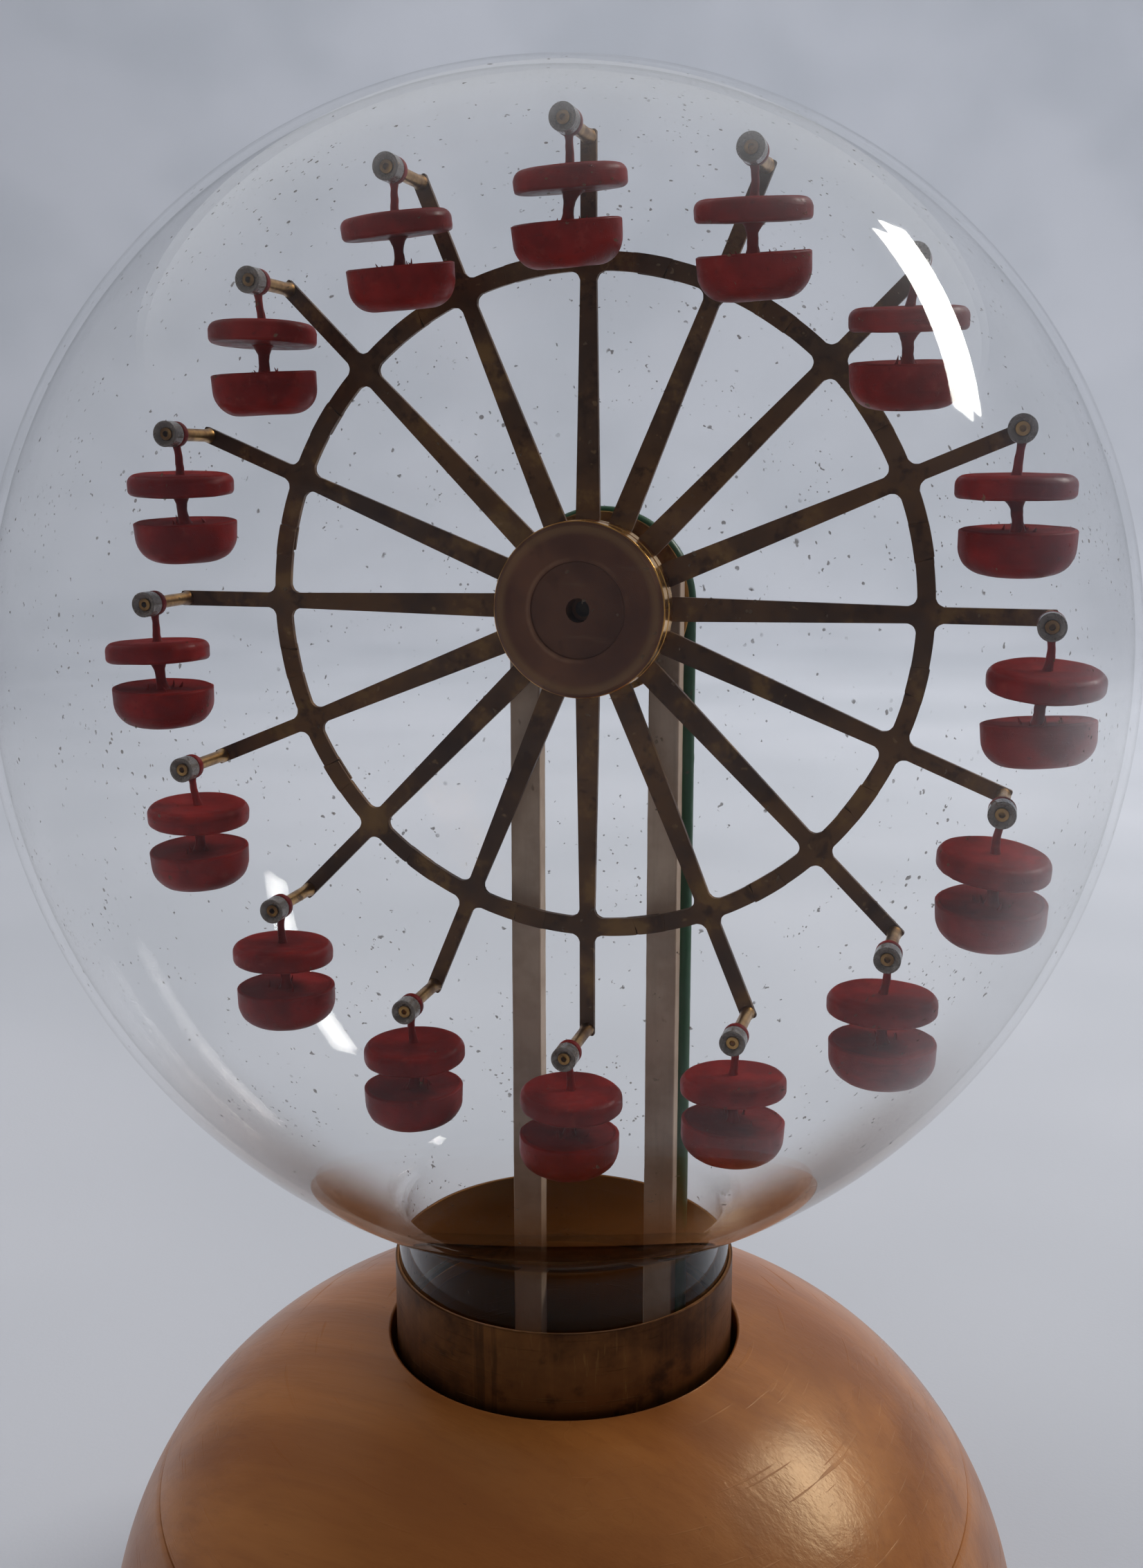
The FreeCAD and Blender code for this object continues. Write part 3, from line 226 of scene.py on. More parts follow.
def finish(name):
    """New material: gives it, its surface, and the position over the piece as a shade."""
    made = bpy.data.materials.new(name)
    made.use_nodes = True
    tree = made.node_tree
    surface = tree.nodes["Principled BSDF"]
    place = Shade(tree, tree.nodes.new("ShaderNodeTexCoord").outputs["Object"])
    return made, surface, place


def coat(surface, values):
    """Set or link the surface's sockets."""
    for name, value in values.items():
        if isinstance(value, Shade):
            surface.id_data.links.new(value.socket, surface.inputs[name])
        else:
            surface.inputs[name].default_value = value


def seat(piece, body, slot, material, *nodes):
    """Give a piece its material, and let it ride on a body in place of CAD nodes. The slot is not used.
    """
    piece.data.materials.clear()
    piece.data.materials.append(material)
    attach(piece, body)
    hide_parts(*nodes)
    return piece


WOOD_ARC = 62 * MM
WOOD_ARC_CENTRE = 28 * MM
WOOD_ARC_HEIGHT = 24 * MM
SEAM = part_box("base_bowl")[1][2]
DECK_RADIUS = 74 * MM
COLLAR_HOLE = 34.2 * MM
LID_WALL = 10 * MM
SEAM_BEVEL = 0.5 * MM
HOLE_BEVEL = 0.6 * MM
FOOT_BEVEL = 1 * MM
SPIGOT = 1 * MM
CAVITY_RADIUS = 66 * MM
COVER_RADIUS = 71 * MM
COVER_LEVEL = 5 * MM


def wood_angle(height):
    """Direction, in degrees, from the arc's centre to the outside at a height."""
    return math.degrees(math.asin((height - WOOD_ARC_HEIGHT) / WOOD_ARC))


lacquered_wood, surface, place = finish("lacquered_wood")
along_grain = place.stretched((1, 1, 1), turn=(0.5, 0.0, 0.35), shift=(0.03, 0.01, 0.0))
figure = along_grain.stretched((7, 60, 60)).clouds(1.0, detail=5, roughness=0.6, distortion=0.4)
fibres = along_grain.stretched((30, 520, 520)).clouds(1.0, detail=3, roughness=0.7)
mottle = place.clouds(22, detail=3)
rings = along_grain.stretched((2.5, 22, 22)).clouds(1.0, detail=2, distortion=0.8)
flecks = along_grain.stretched((160, 900, 900)).cells(1.0).fade(0.06, 0.14, 1.0, 0.0)
fleck_patches = place.clouds(60, detail=2).fade(0.56, 0.66)
ground = figure.fade(0.3, 0.7).blend(tone(140, 81, 35), tone(173, 109, 53))
ground = (rings.fade(0.44, 0.62) * 0.5).blend(ground, tone(123, 69, 29))
ground = (fibres.fade(0.45, 0.75) * 0.22).blend(ground, tone(108, 54, 20))
ground = (flecks * fleck_patches * 0.5).blend(ground, tone(74, 34, 16))
ground = (mottle.fade(0.35, 0.65) * 0.25).blend(ground, tone(158, 88, 38))
scratches = place.stretched((60, 60, 2600), turn=(0.3, 0.9, 0.4)).clouds(1.0, detail=1).fade(0.68, 0.73)
coat(surface, {
    "Base Color": ground,
    "Specular Tint": (1.0, 0.72, 0.36, 1),
    "Roughness": mottle.fade(0.3, 0.7, 0.26, 0.35) + scratches * 0.2,
    "Normal": (fibres * 0.5 + figure * 0.35 + scratches * 0.2
               + place.clouds(70, detail=2) * 0.8).relief(0.4, 0.0004),
    "Specular IOR Level": 0.5,
    "Coat Weight": 0.24,
    "Coat Roughness": 0.5,
})


def base_profiles():
    """Profiles of the dome and the bowl, each a closed loop from the top outside edge."""
    inner = WOOD_ARC - LID_WALL
    hole_top = WOOD_ARC_HEIGHT + math.sqrt(WOOD_ARC ** 2 - (COLLAR_HOLE - WOOD_ARC_CENTRE) ** 2)
    hole_low = WOOD_ARC_HEIGHT + math.sqrt(inner ** 2 - (COLLAR_HOLE - WOOD_ARC_CENTRE) ** 2)
    start = math.degrees(math.acos((COLLAR_HOLE + HOLE_BEVEL - WOOD_ARC_CENTRE) / WOOD_ARC))
    outside = arc(WOOD_ARC_CENTRE, WOOD_ARC_HEIGHT, WOOD_ARC, start, wood_angle(SEAM + SEAM_BEVEL), 90)
    inside_start = math.degrees(math.asin((SEAM - WOOD_ARC_HEIGHT) / inner))
    inside_end = math.degrees(math.acos((COLLAR_HOLE - WOOD_ARC_CENTRE) / inner))
    lip = outside[-1][0] - SEAM_BEVEL
    fit = DECK_RADIUS - 0.1 * MM
    lid = arc(COLLAR_HOLE + HOLE_BEVEL, hole_top - HOLE_BEVEL, HOLE_BEVEL, 180, 96, 6)
    lid += outside
    lid += [(lip, SEAM), (fit, SEAM), (fit, SEAM - SPIGOT)]
    lid += [(WOOD_ARC_CENTRE + inner * math.cos(math.radians(inside_start)), SEAM - SPIGOT)]
    lid += arc(WOOD_ARC_CENTRE, WOOD_ARC_HEIGHT, inner, inside_start, inside_end, 50)
    lid += [(COLLAR_HOLE, hole_low)]
    bowl_side = arc(WOOD_ARC_CENTRE, WOOD_ARC_HEIGHT, WOOD_ARC, wood_angle(FOOT_BEVEL),
                    wood_angle(SEAM - SEAM_BEVEL), 90)
    rebate_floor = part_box("deck")[0][2]
    bowl = [(bowl_side[0][0] - FOOT_BEVEL, 0.0), (bowl_side[0][0] - FOOT_BEVEL * 0.3, FOOT_BEVEL * 0.35)]
    bowl += bowl_side
    bowl += [(bowl_side[-1][0] - SEAM_BEVEL, SEAM), (DECK_RADIUS, SEAM), (DECK_RADIUS, rebate_floor)]
    bowl += [(CAVITY_RADIUS, rebate_floor), (CAVITY_RADIUS, COVER_LEVEL), (COVER_RADIUS, COVER_LEVEL)]
    bowl += [(COVER_RADIUS, 0.0)]
    return lid, bowl


lid_profile, bowl_profile = base_profiles()
seat(turned("dome_lid", lid_profile, 224), "base", "lacquered_wood", lacquered_wood, "base_lid")
seat(turned("turned_bowl", bowl_profile, 224), "base", "lacquered_wood", lacquered_wood, "base_bowl")


# ---------------------------------------------------------------- inside the base
# The plywood deck, the black cover board and the bought-in drive parts sit out of sight. They keep
# their frame shapes and get the finishes of what they are.

def dress(material, *nodes):
    """Give frame nodes that keep their own shape a finish."""
    for node in nodes:
        shape = frame["nodes"][node]
        if not shape.data.materials:
            shape.data.materials.append(material)
        for index in range(len(shape.material_slots)):
            shape.material_slots[index].material = material


plywood, surface, place = finish("plywood")
layers = place.stretched((30, 200, 900)).clouds(1.0, detail=4, roughness=0.6)
coat(surface, {
    "Base Color": layers.fade(0.3, 0.7).blend(tone(160, 126, 84), tone(196, 160, 112)),
    "Roughness": layers.fade(0.3, 0.7, 0.6, 0.75),
    "Normal": layers.relief(0.3, 0.0002),
})
dress(plywood, "deck")

cover_board, surface, place = finish("cover_board")
pebble = place.cells(900)
coat(surface, {
    "Base Color": place.clouds(40).fade(0.3, 0.7).blend(tone(30, 30, 31), tone(42, 41, 40)),
    "Roughness": pebble.fade(0.1, 0.7, 0.5, 0.65),
    "Normal": pebble.relief(0.25, 0.0002),
})
dress(cover_board, "bottom_cover")

black_plastic, surface, place = finish("black_moulding")
grainy = place.clouds(1400, detail=2)
coat(surface, {
    "Base Color": grainy.fade(0.3, 0.7).blend(tone(20, 20, 22), tone(32, 32, 34)),
    "Roughness": grainy.fade(0.3, 0.7, 0.38, 0.52),
    "Normal": grainy.relief(0.15, 0.0001),
})
dress(black_plastic, "battery_box", "switch_case", "switch_knob")

cell_wrap, surface, place = finish("cell_wrap")
wrap = place.stretched((60, 10, 10)).clouds(1.0, detail=2)
coat(surface, {
    "Base Color": abs(place.part("X")).fade(0.0195, 0.0205).blend(tone(62, 66, 74), tone(168, 120, 60)),
    "Roughness": wrap.fade(0.3, 0.7, 0.22, 0.34),
    "Normal": wrap.relief(0.1, 0.0001),
})
dress(cell_wrap, "battery_cells")

plated_steel, surface, place = finish("plated_steel")
brushing = place.stretched((50, 900, 900)).clouds(1.0, detail=3)
coat(surface, {
    "Base Color": brushing.fade(0.3, 0.7).blend(tone(150, 150, 152), tone(188, 188, 190)),
    "Metallic": 1.0,
    "Roughness": brushing.fade(0.3, 0.7, 0.25, 0.42),
    "Normal": brushing.relief(0.15, 0.0001),
})
dress(plated_steel, "gear_motor", "motor_bracket", "screws", "motor_shaft")

dark_steel, surface, place = finish("dark_steel")
brushing = place.stretched((900, 50, 900)).clouds(1.0, detail=3)
coat(surface, {
    "Base Color": brushing.fade(0.3, 0.7).blend(tone(44, 36, 30), tone(66, 56, 48)),
    "Metallic": 0.6,
    "Roughness": brushing.fade(0.3, 0.7, 0.40, 0.55),
    "Normal": brushing.relief(0.15, 0.0001),
})
dress(dark_steel, "axle")

soft_rubber, surface, place = finish("gasket_rubber")
coat(surface, {
    "Base Color": place.clouds(300).fade(0.3, 0.7).blend(tone(38, 28, 20), tone(56, 42, 30)),
    "Roughness": place.clouds(600).fade(0.3, 0.7, 0.6, 0.8),
})
dress(soft_rubber, "neck_gasket")


# ---------------------------------------------------------------- brass collar
# A ring of thin brass tube, rolled from sheet and lapped at one soldered seam, gone brown with
# handling. Its foot flange is screwed to the deck; the glass neck stands on the ledge inside it.

COLLAR_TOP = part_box("brass_collar")[1][2]
COLLAR_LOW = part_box("brass_collar")[0][2]
COLLAR_OUTSIDE = 33 * MM
COLLAR_INSIDE = 32.3 * MM
SEAM_TURN = math.radians(258)
NECK_LOW = 87.5 * MM
FLANGE_RADIUS = 43 * MM
FLANGE_THICK = 1.5 * MM
LEDGE_WIDTH = 1.6 * MM
LEDGE_DEPTH = 3 * MM


def rolled(point, angle):
    """The lapped seam stands proud, and the upper rim was filed by hand."""
    radial = math.hypot(point.x, point.y)
    if radial > COLLAR_INSIDE + 0.3 * MM and point.z > COLLAR_LOW + 2 * MM:
        past = (angle - SEAM_TURN) % (2 * math.pi)
        lift = 0.16 * MM * max(0.0, 1 - past / 0.35) if past < 0.35 else 0.0
        wave = 0.05 * MM * noise.noise(Vector((math.cos(angle) * 2, math.sin(angle) * 2, 3)))
        scale = (radial + lift + wave) / radial
        point = Vector((point.x * scale, point.y * scale, point.z))
    if point.z > COLLAR_TOP - 1 * MM:
        filed = noise.noise(Vector((math.cos(angle) * 5, math.sin(angle) * 5, 0)))
        point.z -= 0.12 * MM * (1 + filed) / 2
    return point


aged_brass, surface, place = finish("aged_collar_brass")
streaks = place.stretched((260, 260, 14)).clouds(1.0, detail=4, roughness=0.65)
tarnish = place.clouds(38, detail=6, roughness=0.62)
stains = place.clouds(95, detail=4, roughness=0.6)
scuffs = place.stretched((1400, 1400, 160), turn=(0.2, 0.5, 0.1)).clouds(1.0, detail=2).fade(0.60, 0.68)
scuff_place = place.clouds(45, detail=1).fade(0.50, 0.60)
hairlines = place.stretched((90, 90, 2600), turn=(0.12, -0.08, 0)).clouds(1.0, detail=1).fade(0.66, 0.72)
shine = tarnish.fade(0.36, 0.62) * 0.75 + streaks.fade(0.5, 0.7) * 0.25
metal = shine.blend(tone(52, 29, 15), tone(120, 78, 40))
metal = (stains.fade(0.56, 0.68) * 0.65).blend(metal, tone(34, 20, 13))
metal = (streaks.fade(0.60, 0.72) * 0.55).blend(metal, tone(26, 15, 10))
metal = (scuffs * scuff_place * 0.35).blend(metal, tone(150, 110, 62))
across = place.part("X")
deep = place.part("Y")
from_middle = (across * across + deep * deep).maths("SQRT", across * across + deep * deep)
metal = (from_middle.fade(0.0325, 0.0329, 1.0, 0.0) * 0.7).blend(metal, tone(168, 112, 54))
coat(surface, {
    "Base Color": metal,
    "Metallic": 0.8,
    "Specular IOR Level": 0.3,
    "Roughness": tarnish.fade(0.3, 0.7, 0.50, 0.36) + scuffs * scuff_place * 0.12 + hairlines * 0.1,
    "Normal": (streaks * 0.4 + stains * 0.8 + hairlines * 0.5
               + place.clouds(50, detail=2)).relief(0.35, 0.0003),
})

flange_top = COLLAR_LOW + FLANGE_THICK
ledge_inside = COLLAR_INSIDE - LEDGE_WIDTH
ledge_top = NECK_LOW - 1 * MM
collar_profile = soften([
    (COLLAR_INSIDE, COLLAR_TOP, 0.15 * MM),
    (COLLAR_OUTSIDE, COLLAR_TOP, 0.2 * MM),
    (COLLAR_OUTSIDE, 80 * MM),
    (COLLAR_OUTSIDE, flange_top, 0.4 * MM),
    (FLANGE_RADIUS, flange_top, 0.3 * MM),
    (FLANGE_RADIUS, COLLAR_LOW),
    (COLLAR_INSIDE, COLLAR_LOW),
    (COLLAR_INSIDE, ledge_top - LEDGE_DEPTH),
    (ledge_inside, ledge_top - LEDGE_DEPTH, 0.3 * MM),
    (ledge_inside, ledge_top, 0.3 * MM),
    (COLLAR_INSIDE, ledge_top),
])
seat(turned("rolled_collar", collar_profile, 240, shape=rolled), "base", "collar_brass", aged_brass,
     "brass_collar")


# ---------------------------------------------------------------- posts and bearing
# Two slim square bars, painted cream, stand in mortises of a foot block and carry the bearing block
# between their tops. The axle turns there in a flanged brass bush.

def bar(name, low, high, edge, slices, worn, seed):
    """Squared bar along Z with eased edges that wander a little along its length."""
    section = soften([(low[0], low[1], edge), (high[0], low[1], edge),
                      (high[0], high[1], edge), (low[0], high[1], edge)], 4)
    middle = Vector(((low[0] + high[0]) / 2, (low[1] + high[1]) / 2, 0))
    levels = [(low[2], edge), (low[2] + edge, 0.0)]
    levels += [(low[2] + (high[2] - low[2]) * step / slices, 0.0) for step in range(1, slices)]
    levels += [(high[2] - edge, 0.0), (high[2], edge)]
    bm = bmesh.new()
    loops = []
    for z, inset in levels:
        loop = []
        for x, y in section:
            point = Vector((x, y, 0)) - middle
            point *= 1 - inset / max(abs(point.x), abs(point.y))
            point += middle + Vector((0, 0, z))
            drift = noise.noise_vector(point * 230 + Vector((seed, 0, 0))) * worn
            loop.append(bm.verts.new(point + Vector((drift.x, drift.y, 0))))
        loops.append(loop)
    for lower, upper in zip(loops, loops[1:]):
        for step in range(len(section)):
            other = (step + 1) % len(section)
            bm.faces.new([lower[step], lower[other], upper[other], upper[step]])
    bm.faces.new(loops[0])
    bm.faces.new(loops[-1])
    return mesh_piece(name, bm)


cream_paint, surface, place = finish("cream_paint")
grain = place.stretched((900, 900, 40)).clouds(1.0, detail=3, roughness=0.6)
grime = place.clouds(90, detail=5, roughness=0.65)
knocks = place.stretched((1, 1, 0.5)).clouds(420, detail=2).fade(0.70, 0.76)
paint = grime.fade(0.3, 0.75).blend(tone(184, 160, 138), tone(158, 134, 113))
paint = (grain.fade(0.5, 0.8) * 0.3).blend(paint, tone(140, 124, 106))
paint = (knocks * 0.6).blend(paint, tone(96, 74, 56))
coat(surface, {
    "Base Color": paint,
    "Roughness": grime.fade(0.3, 0.7, 0.42, 0.6),
    "Normal": (grain * 0.8 + knocks * -0.6 + grime * 0.4).relief(0.35, 0.0002),
})
for number, node in enumerate(("post_left", "post_right")):
    low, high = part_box(node)
    seat(bar(f"{node}_bar", low, high, 0.35 * MM, 90, 0.05 * MM, number * 7.0), "base", "painted_post",
         cream_paint, node)
dress(cream_paint, "bearing_block", "tower_foot")


# ---------------------------------------------------------------- belt and pulleys
# An endless green polyurethane cord, butt-welded at one place, runs in the round grooves of two
# turned brass pulleys: one on the wheel's axle, one on the motor shaft in the base.

BELT_Y = (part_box("drive_belt")[0][1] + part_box("drive_belt")[1][1]) / 2
BELT_RADIUS = 1.6 * MM
BELT_PATH = 17 * MM
DRIVE = PINS["drive_pulley_spin"]


def belt_line(travel, span):
    """Centre line of the belt by distance travelled: down the right run, round, and back up."""
    half_turn = math.pi * BELT_PATH
    if travel < span:
        return Vector((BELT_PATH, 0, -travel))
    travel -= span
    if travel < half_turn:
        angle = travel / BELT_PATH
        return Vector((BELT_PATH * math.cos(angle), 0, -span - BELT_PATH * math.sin(angle)))
    travel -= half_turn
    if travel < span:
        return Vector((-BELT_PATH, 0, -span + travel))
    angle = (travel - span) / BELT_PATH
    return Vector((-BELT_PATH * math.cos(angle), 0, BELT_PATH * math.sin(angle)))


def belt_mesh():
    span = AXLE.z - DRIVE.z
    length = 2 * span + 2 * math.pi * BELT_PATH
    slices = 420
    sides = 20
    weld = 0.06 * length
    bm = bmesh.new()
    loops = []
    for index in range(slices):
        travel = length * index / slices
        here = belt_line(travel, span)
        ahead = belt_line((travel + 0.2 * MM) % length, span)
        forward = (ahead - here).normalized()
        side = Vector((0, 1, 0))
        out = forward.cross(side)
        bulge = 0.10 * MM * math.exp(-((travel - weld) / (0.5 * MM)) ** 2)
        radius = BELT_RADIUS - 0.12 * MM + bulge
        loop = []
        for step in range(sides):
            angle = 2 * math.pi * step / sides
            spot = here + out * (radius * math.cos(angle)) + side * (radius * math.sin(angle))
            loop.append(bm.verts.new(spot + Vector((AXLE.x, BELT_Y, AXLE.z))))
        loops.append(loop)
    for index, loop in enumerate(loops):
        following = loops[(index + 1) % slices]
        for step in range(sides):
            other = (step + 1) % sides
            bm.faces.new([loop[step], loop[other], following[other], following[step]])
    return mesh_piece("round_belt", bm, 60)


green_cord, surface, place = finish("green_cord")
frost = place.clouds(700, detail=3)
rubbed = place.stretched((60, 60, 12)).clouds(1.0, detail=3)
coat(surface, {
    "Base Color": rubbed.fade(0.3, 0.7).blend(tone(7, 62, 27), tone(15, 82, 38)),
    "Roughness": frost.fade(0.3, 0.7, 0.34, 0.5),
    "Normal": frost.relief(0.12, 0.0001),
    "Subsurface Weight": 0.15,
    "Subsurface Radius": (0.3, 1.0, 0.4),
    "Subsurface Scale": 0.0015,
})
seat(belt_mesh(), "base", "green_belt", green_cord, "drive_belt")

bright_brass, surface, place = finish("bright_brass")
tool_marks = place.stretched((300, 2400, 300)).clouds(1.0, detail=2)
patches = place.clouds(150, detail=4, roughness=0.6)
coat(surface, {
    "Base Color": patches.fade(0.35, 0.65).blend(tone(184, 142, 84), tone(112, 78, 44)),
    "Metallic": 1.0,
    "Roughness": patches.fade(0.3, 0.7, 0.26, 0.48),
    "Normal": tool_marks.relief(0.2, 0.0001),
})
ALONG_Y = Matrix.Rotation(math.radians(-90), 4, "X")
PULLEY_RADIUS = 17.6 * MM
PULLEY_BORE = 1.5 * MM
PULLEY_BOSS = 4.2 * MM
PULLEY_BOSS_LENGTH = 1.5 * MM
WEB_INSIDE = 6.6 * MM
WEB_OUTSIDE = 12.9 * MM
GROOVE = 1.7 * MM


def pulley(name, node, centre, body):
    """Turned pulley: thin flanges, round groove, a face hollowed between rim and hub, boss behind."""
    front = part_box(node)[0][1]
    boss_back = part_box(node)[1][1]
    back = boss_back - PULLEY_BOSS_LENGTH
    middle = (front + back) / 2
    lip = 0.15 * MM
    floor = front + 0.5 * MM
    profile = [(PULLEY_BORE, front), (WEB_INSIDE, front), (WEB_INSIDE + lip, floor),
               (WEB_OUTSIDE - lip, floor), (WEB_OUTSIDE, front), (PULLEY_RADIUS - lip, front),
               (PULLEY_RADIUS, front + lip)]
    turns = [math.pi * step / 16 for step in range(17)]
    profile += [(BELT_PATH - GROOVE * math.sin(turn), middle - GROOVE * math.cos(turn))
                for turn in turns]
    profile += [(PULLEY_RADIUS, back - lip), (PULLEY_RADIUS - lip, back), (PULLEY_BOSS, back),
                (PULLEY_BOSS, boss_back - lip), (PULLEY_BOSS - lip, boss_back), (PULLEY_BORE, boss_back)]
    place = Matrix.Translation((centre.x, 0, centre.z)) @ ALONG_Y
    return seat(turned(name, profile, 128, place), body, "bright_brass", bright_brass, node)


pulley("turned_wheel_pulley", "wheel_pulley", AXLE, "wheel")
pulley("turned_drive_pulley", "drive_pulley", DRIVE, "drive")
dress(bright_brass, "axle_bush")


# ---------------------------------------------------------------- hub
# A turned brass drum in front of the spokes and a plate behind them hold the spoke roots. The face
# has gone dark brown; its side is still bright where it was turned last.

HUB_RADIUS = 16.3 * MM
HUB_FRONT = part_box("hub_drum")[0][1]
HUB_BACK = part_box("hub_drum")[1][1]
HUB_BORE = 1.5 * MM
HUB_EYE = 2.2 * MM
HUB_EYE_DEPTH = 4.5 * MM
HUB_BEVEL = 0.9 * MM
HUB_RECESS = 8.8 * MM
TURNED_LINE = 3.4 * MM
TURNED_LINE_HALF = 0.45 * MM

dark_brass, surface, place = finish("dark_face_brass")
across = place.part("X") - AXLE.x
height = place.part("Z") - AXLE.z
from_axle = (across * across + height * height).maths("SQRT", across * across + height * height)
smear = place.clouds(120, detail=6, roughness=0.65)
rust = place.clouds(60, detail=4, roughness=0.6)
wipe = place.stretched((60, 60, 400)).clouds(1.0, detail=3)
face = rust.fade(0.35, 0.68).blend(tone(82, 50, 36), tone(116, 76, 54))
# Painted shade: the recessed middle of the face, inside the step, is painted darker.
face = (from_axle.fade(0.0087, 0.0093, 1.0, 0.0) * 0.35).blend(face, tone(58, 36, 28))
worn_line = abs(from_axle - 0.0095).fade(0.0, 0.0006, 1.0, 0.0)
face = (worn_line * rust.fade(0.4, 0.6) * 0.5).blend(face, tone(150, 112, 84))
face = (smear.fade(0.52, 0.66) * 0.55).blend(face, tone(56, 30, 20))
face = (smear.fade(0.66, 0.74) * 0.5).blend(face, tone(138, 104, 74))
face = (wipe.fade(0.6, 0.75) * 0.35).blend(face, tone(120, 92, 72))
# Painted highlight: a lighter ring is painted round the outer edge and bevel of the face.
rim = from_axle.fade(0.0134, 0.0148) * from_axle.fade(0.0161, 0.0150)
face = (rim * 0.4).blend(face, tone(146, 112, 74))
side_bright = from_axle.fade(0.01600, 0.01618)
face = (side_bright * (1 - smear.fade(0.5, 0.62) * 0.6)).blend(face, tone(226, 172, 92))
coat(surface, {
    "Base Color": face,
    "Metallic": side_bright.fade(0, 1, 0.55, 1.0),
    "Roughness": side_bright.fade(0, 1, 0.52, 0.24) + smear.fade(0.3, 0.7, -0.05, 0.08),
    "Normal": (smear * 0.8 + wipe * 0.3).relief(0.4, 0.00025),
})

front = HUB_FRONT
groove_at = HUB_BACK - TURNED_LINE
drum_profile = soften([
    (HUB_BORE, HUB_BACK),
    (HUB_BORE, front + HUB_EYE_DEPTH),
    (HUB_EYE, front + HUB_EYE_DEPTH),
    (HUB_EYE, front + 0.4 * MM, 0.12 * MM),
    (HUB_RECESS, front + 0.35 * MM),
    (8.95 * MM, front, 0.08 * MM),
    (HUB_RADIUS - HUB_BEVEL, front, 0.25 * MM),
    (HUB_RADIUS, front + HUB_BEVEL, 0.25 * MM),
    (HUB_RADIUS, groove_at - TURNED_LINE_HALF),
    (HUB_RADIUS - 0.5 * MM, groove_at),
    (HUB_RADIUS, groove_at + TURNED_LINE_HALF),
    (HUB_RADIUS, HUB_BACK, 0.15 * MM),
])
wheel_turning = Matrix.Translation((AXLE.x, 0, AXLE.z)) @ ALONG_Y
seat(turned("turned_hub_drum", drum_profile, 160, wheel_turning), "wheel", "dark_brass", dark_brass,
     "hub_drum")
dress(dark_brass, "hub_plate")


# ---------------------------------------------------------------- spokes and ring
# Sixteen crosses sawn and filed from 1 mm brass sheet. The two ring arms of each are thinned at the
# ends, lapped on the neighbours' arms and soldered, so that together they make the ring.

SPOKES = 16
SHEET = 1 * MM
ROOT = 11.2 * MM
TIP = 84.3 * MM
RING = 62 * MM
BAND = 3.3 * MM
ROOT_HALF = 2.05 * MM
FLARE = 16.8 * MM
FLARE_HALF = 2.27 * MM
TIP_HALF = 1.45 * MM
LAP = 5 * MM


def slab_into(bm, outline, front, back, edge, place):
    """Add a flat piece of sheet cut to an outline of (x, z), with filed edges."""
    sides = []
    for y in (front, back):
        sides.append([bm.verts.new((x, y, z)) for x, z in outline])
    count = len(outline)
    faces = [bm.faces.new(sides[0]), bm.faces.new(list(reversed(sides[1])))]
    for index in range(count):
        following = (index + 1) % count
        faces.append(bm.faces.new([sides[0][index], sides[1][index],
                                   sides[1][following], sides[0][following]]))
    rims = [e for face in faces[:2] for e in face.edges]
    done = bmesh.ops.bevel(bm, geom=rims, offset=edge, segments=2, profile=0.5, affect="EDGES")
    verts = {v for f in done["faces"] for v in f.verts}
    verts |= {v for f in faces if f.is_valid for v in f.verts}
    for vert in verts:
        vert.co = place @ vert.co
    return verts


def blade_half(radius):
    """Half the width of a blade, which narrows from the hub to the ring."""
    return FLARE_HALF + (TIP_HALF - FLARE_HALF) * min(1.0, (radius - FLARE) / (RING - FLARE))


def band_points(radius, first, last, steps):
    """Points along a ring edge between two angles in degrees from the spoke."""
    points = []
    for step in range(steps + 1):
        angle = math.radians(first + (last - first) * step / steps)
        points.append((radius * math.sin(angle), radius * math.cos(angle)))
    return points


def spoke_mesh(index, shaky):
    """One cross with its lap tongues, a little different every time as hand-sawn pieces are."""
    pitch = 360 / SPOKES
    lap_turn = math.degrees(LAP / RING)
    full = pitch / 2 - lap_turn / 2
    far = pitch / 2 + lap_turn / 2
    inside = RING - BAND / 2 + shaky.uniform(-0.1, 0.1) * MM
    outside = RING + BAND / 2 + shaky.uniform(-0.1, 0.1) * MM
    fillet = 1.5 * MM
    half_in = blade_half(inside)
    half_out = blade_half(outside)
    clear = math.degrees(4.2 * MM / RING)
    right_out = [(half_out, math.sqrt(outside ** 2 - half_out ** 2), fillet)]
    right_out += band_points(outside, clear, full, 8)
    right_in = band_points(inside, full, clear, 8)
    right_in += [(half_in, math.sqrt(inside ** 2 - half_in ** 2), fillet)]
    right = [(TIP_HALF, TIP, 0.35 * MM)] + right_out + right_in
    right += [(FLARE_HALF, FLARE), (ROOT_HALF, ROOT)]
    left = []
    for corner in reversed(right):
        left.append((-corner[0], *corner[1:]))
    cut = soften(right + left, 5)
    turn = Matrix.Translation(AXLE) @ Matrix.Rotation(math.radians(pitch * index), 4, "Y")
    bm = bmesh.new()
    half = SHEET / 2
    slab_into(bm, cut, -half, half, 0.10 * MM, turn)
    proud = 0.14 * MM
    for side, front, back in ((1, -half - proud, -0.02 * MM), (-1, 0.02 * MM, half + proud)):
        start = full - shaky.uniform(0.5, 1.6)
        skew = shaky.uniform(-0.5, 0.5)
        tongue = [(x, z) for x, z in band_points(outside + 0.05 * MM, start, far + skew, 8)]
        tongue += band_points(inside - 0.05 * MM, far - skew, start + skew, 8)
        tongue = [(x * side, z) for x, z in tongue]
        slab_into(bm, tongue, front, back, 0.09 * MM, turn)
    for vert in bm.verts:
        vert.co += noise.noise_vector(vert.co * 90) * 0.05 * MM
    return mesh_piece(f"sawn_spoke_{index + 1:02d}", bm, 50)


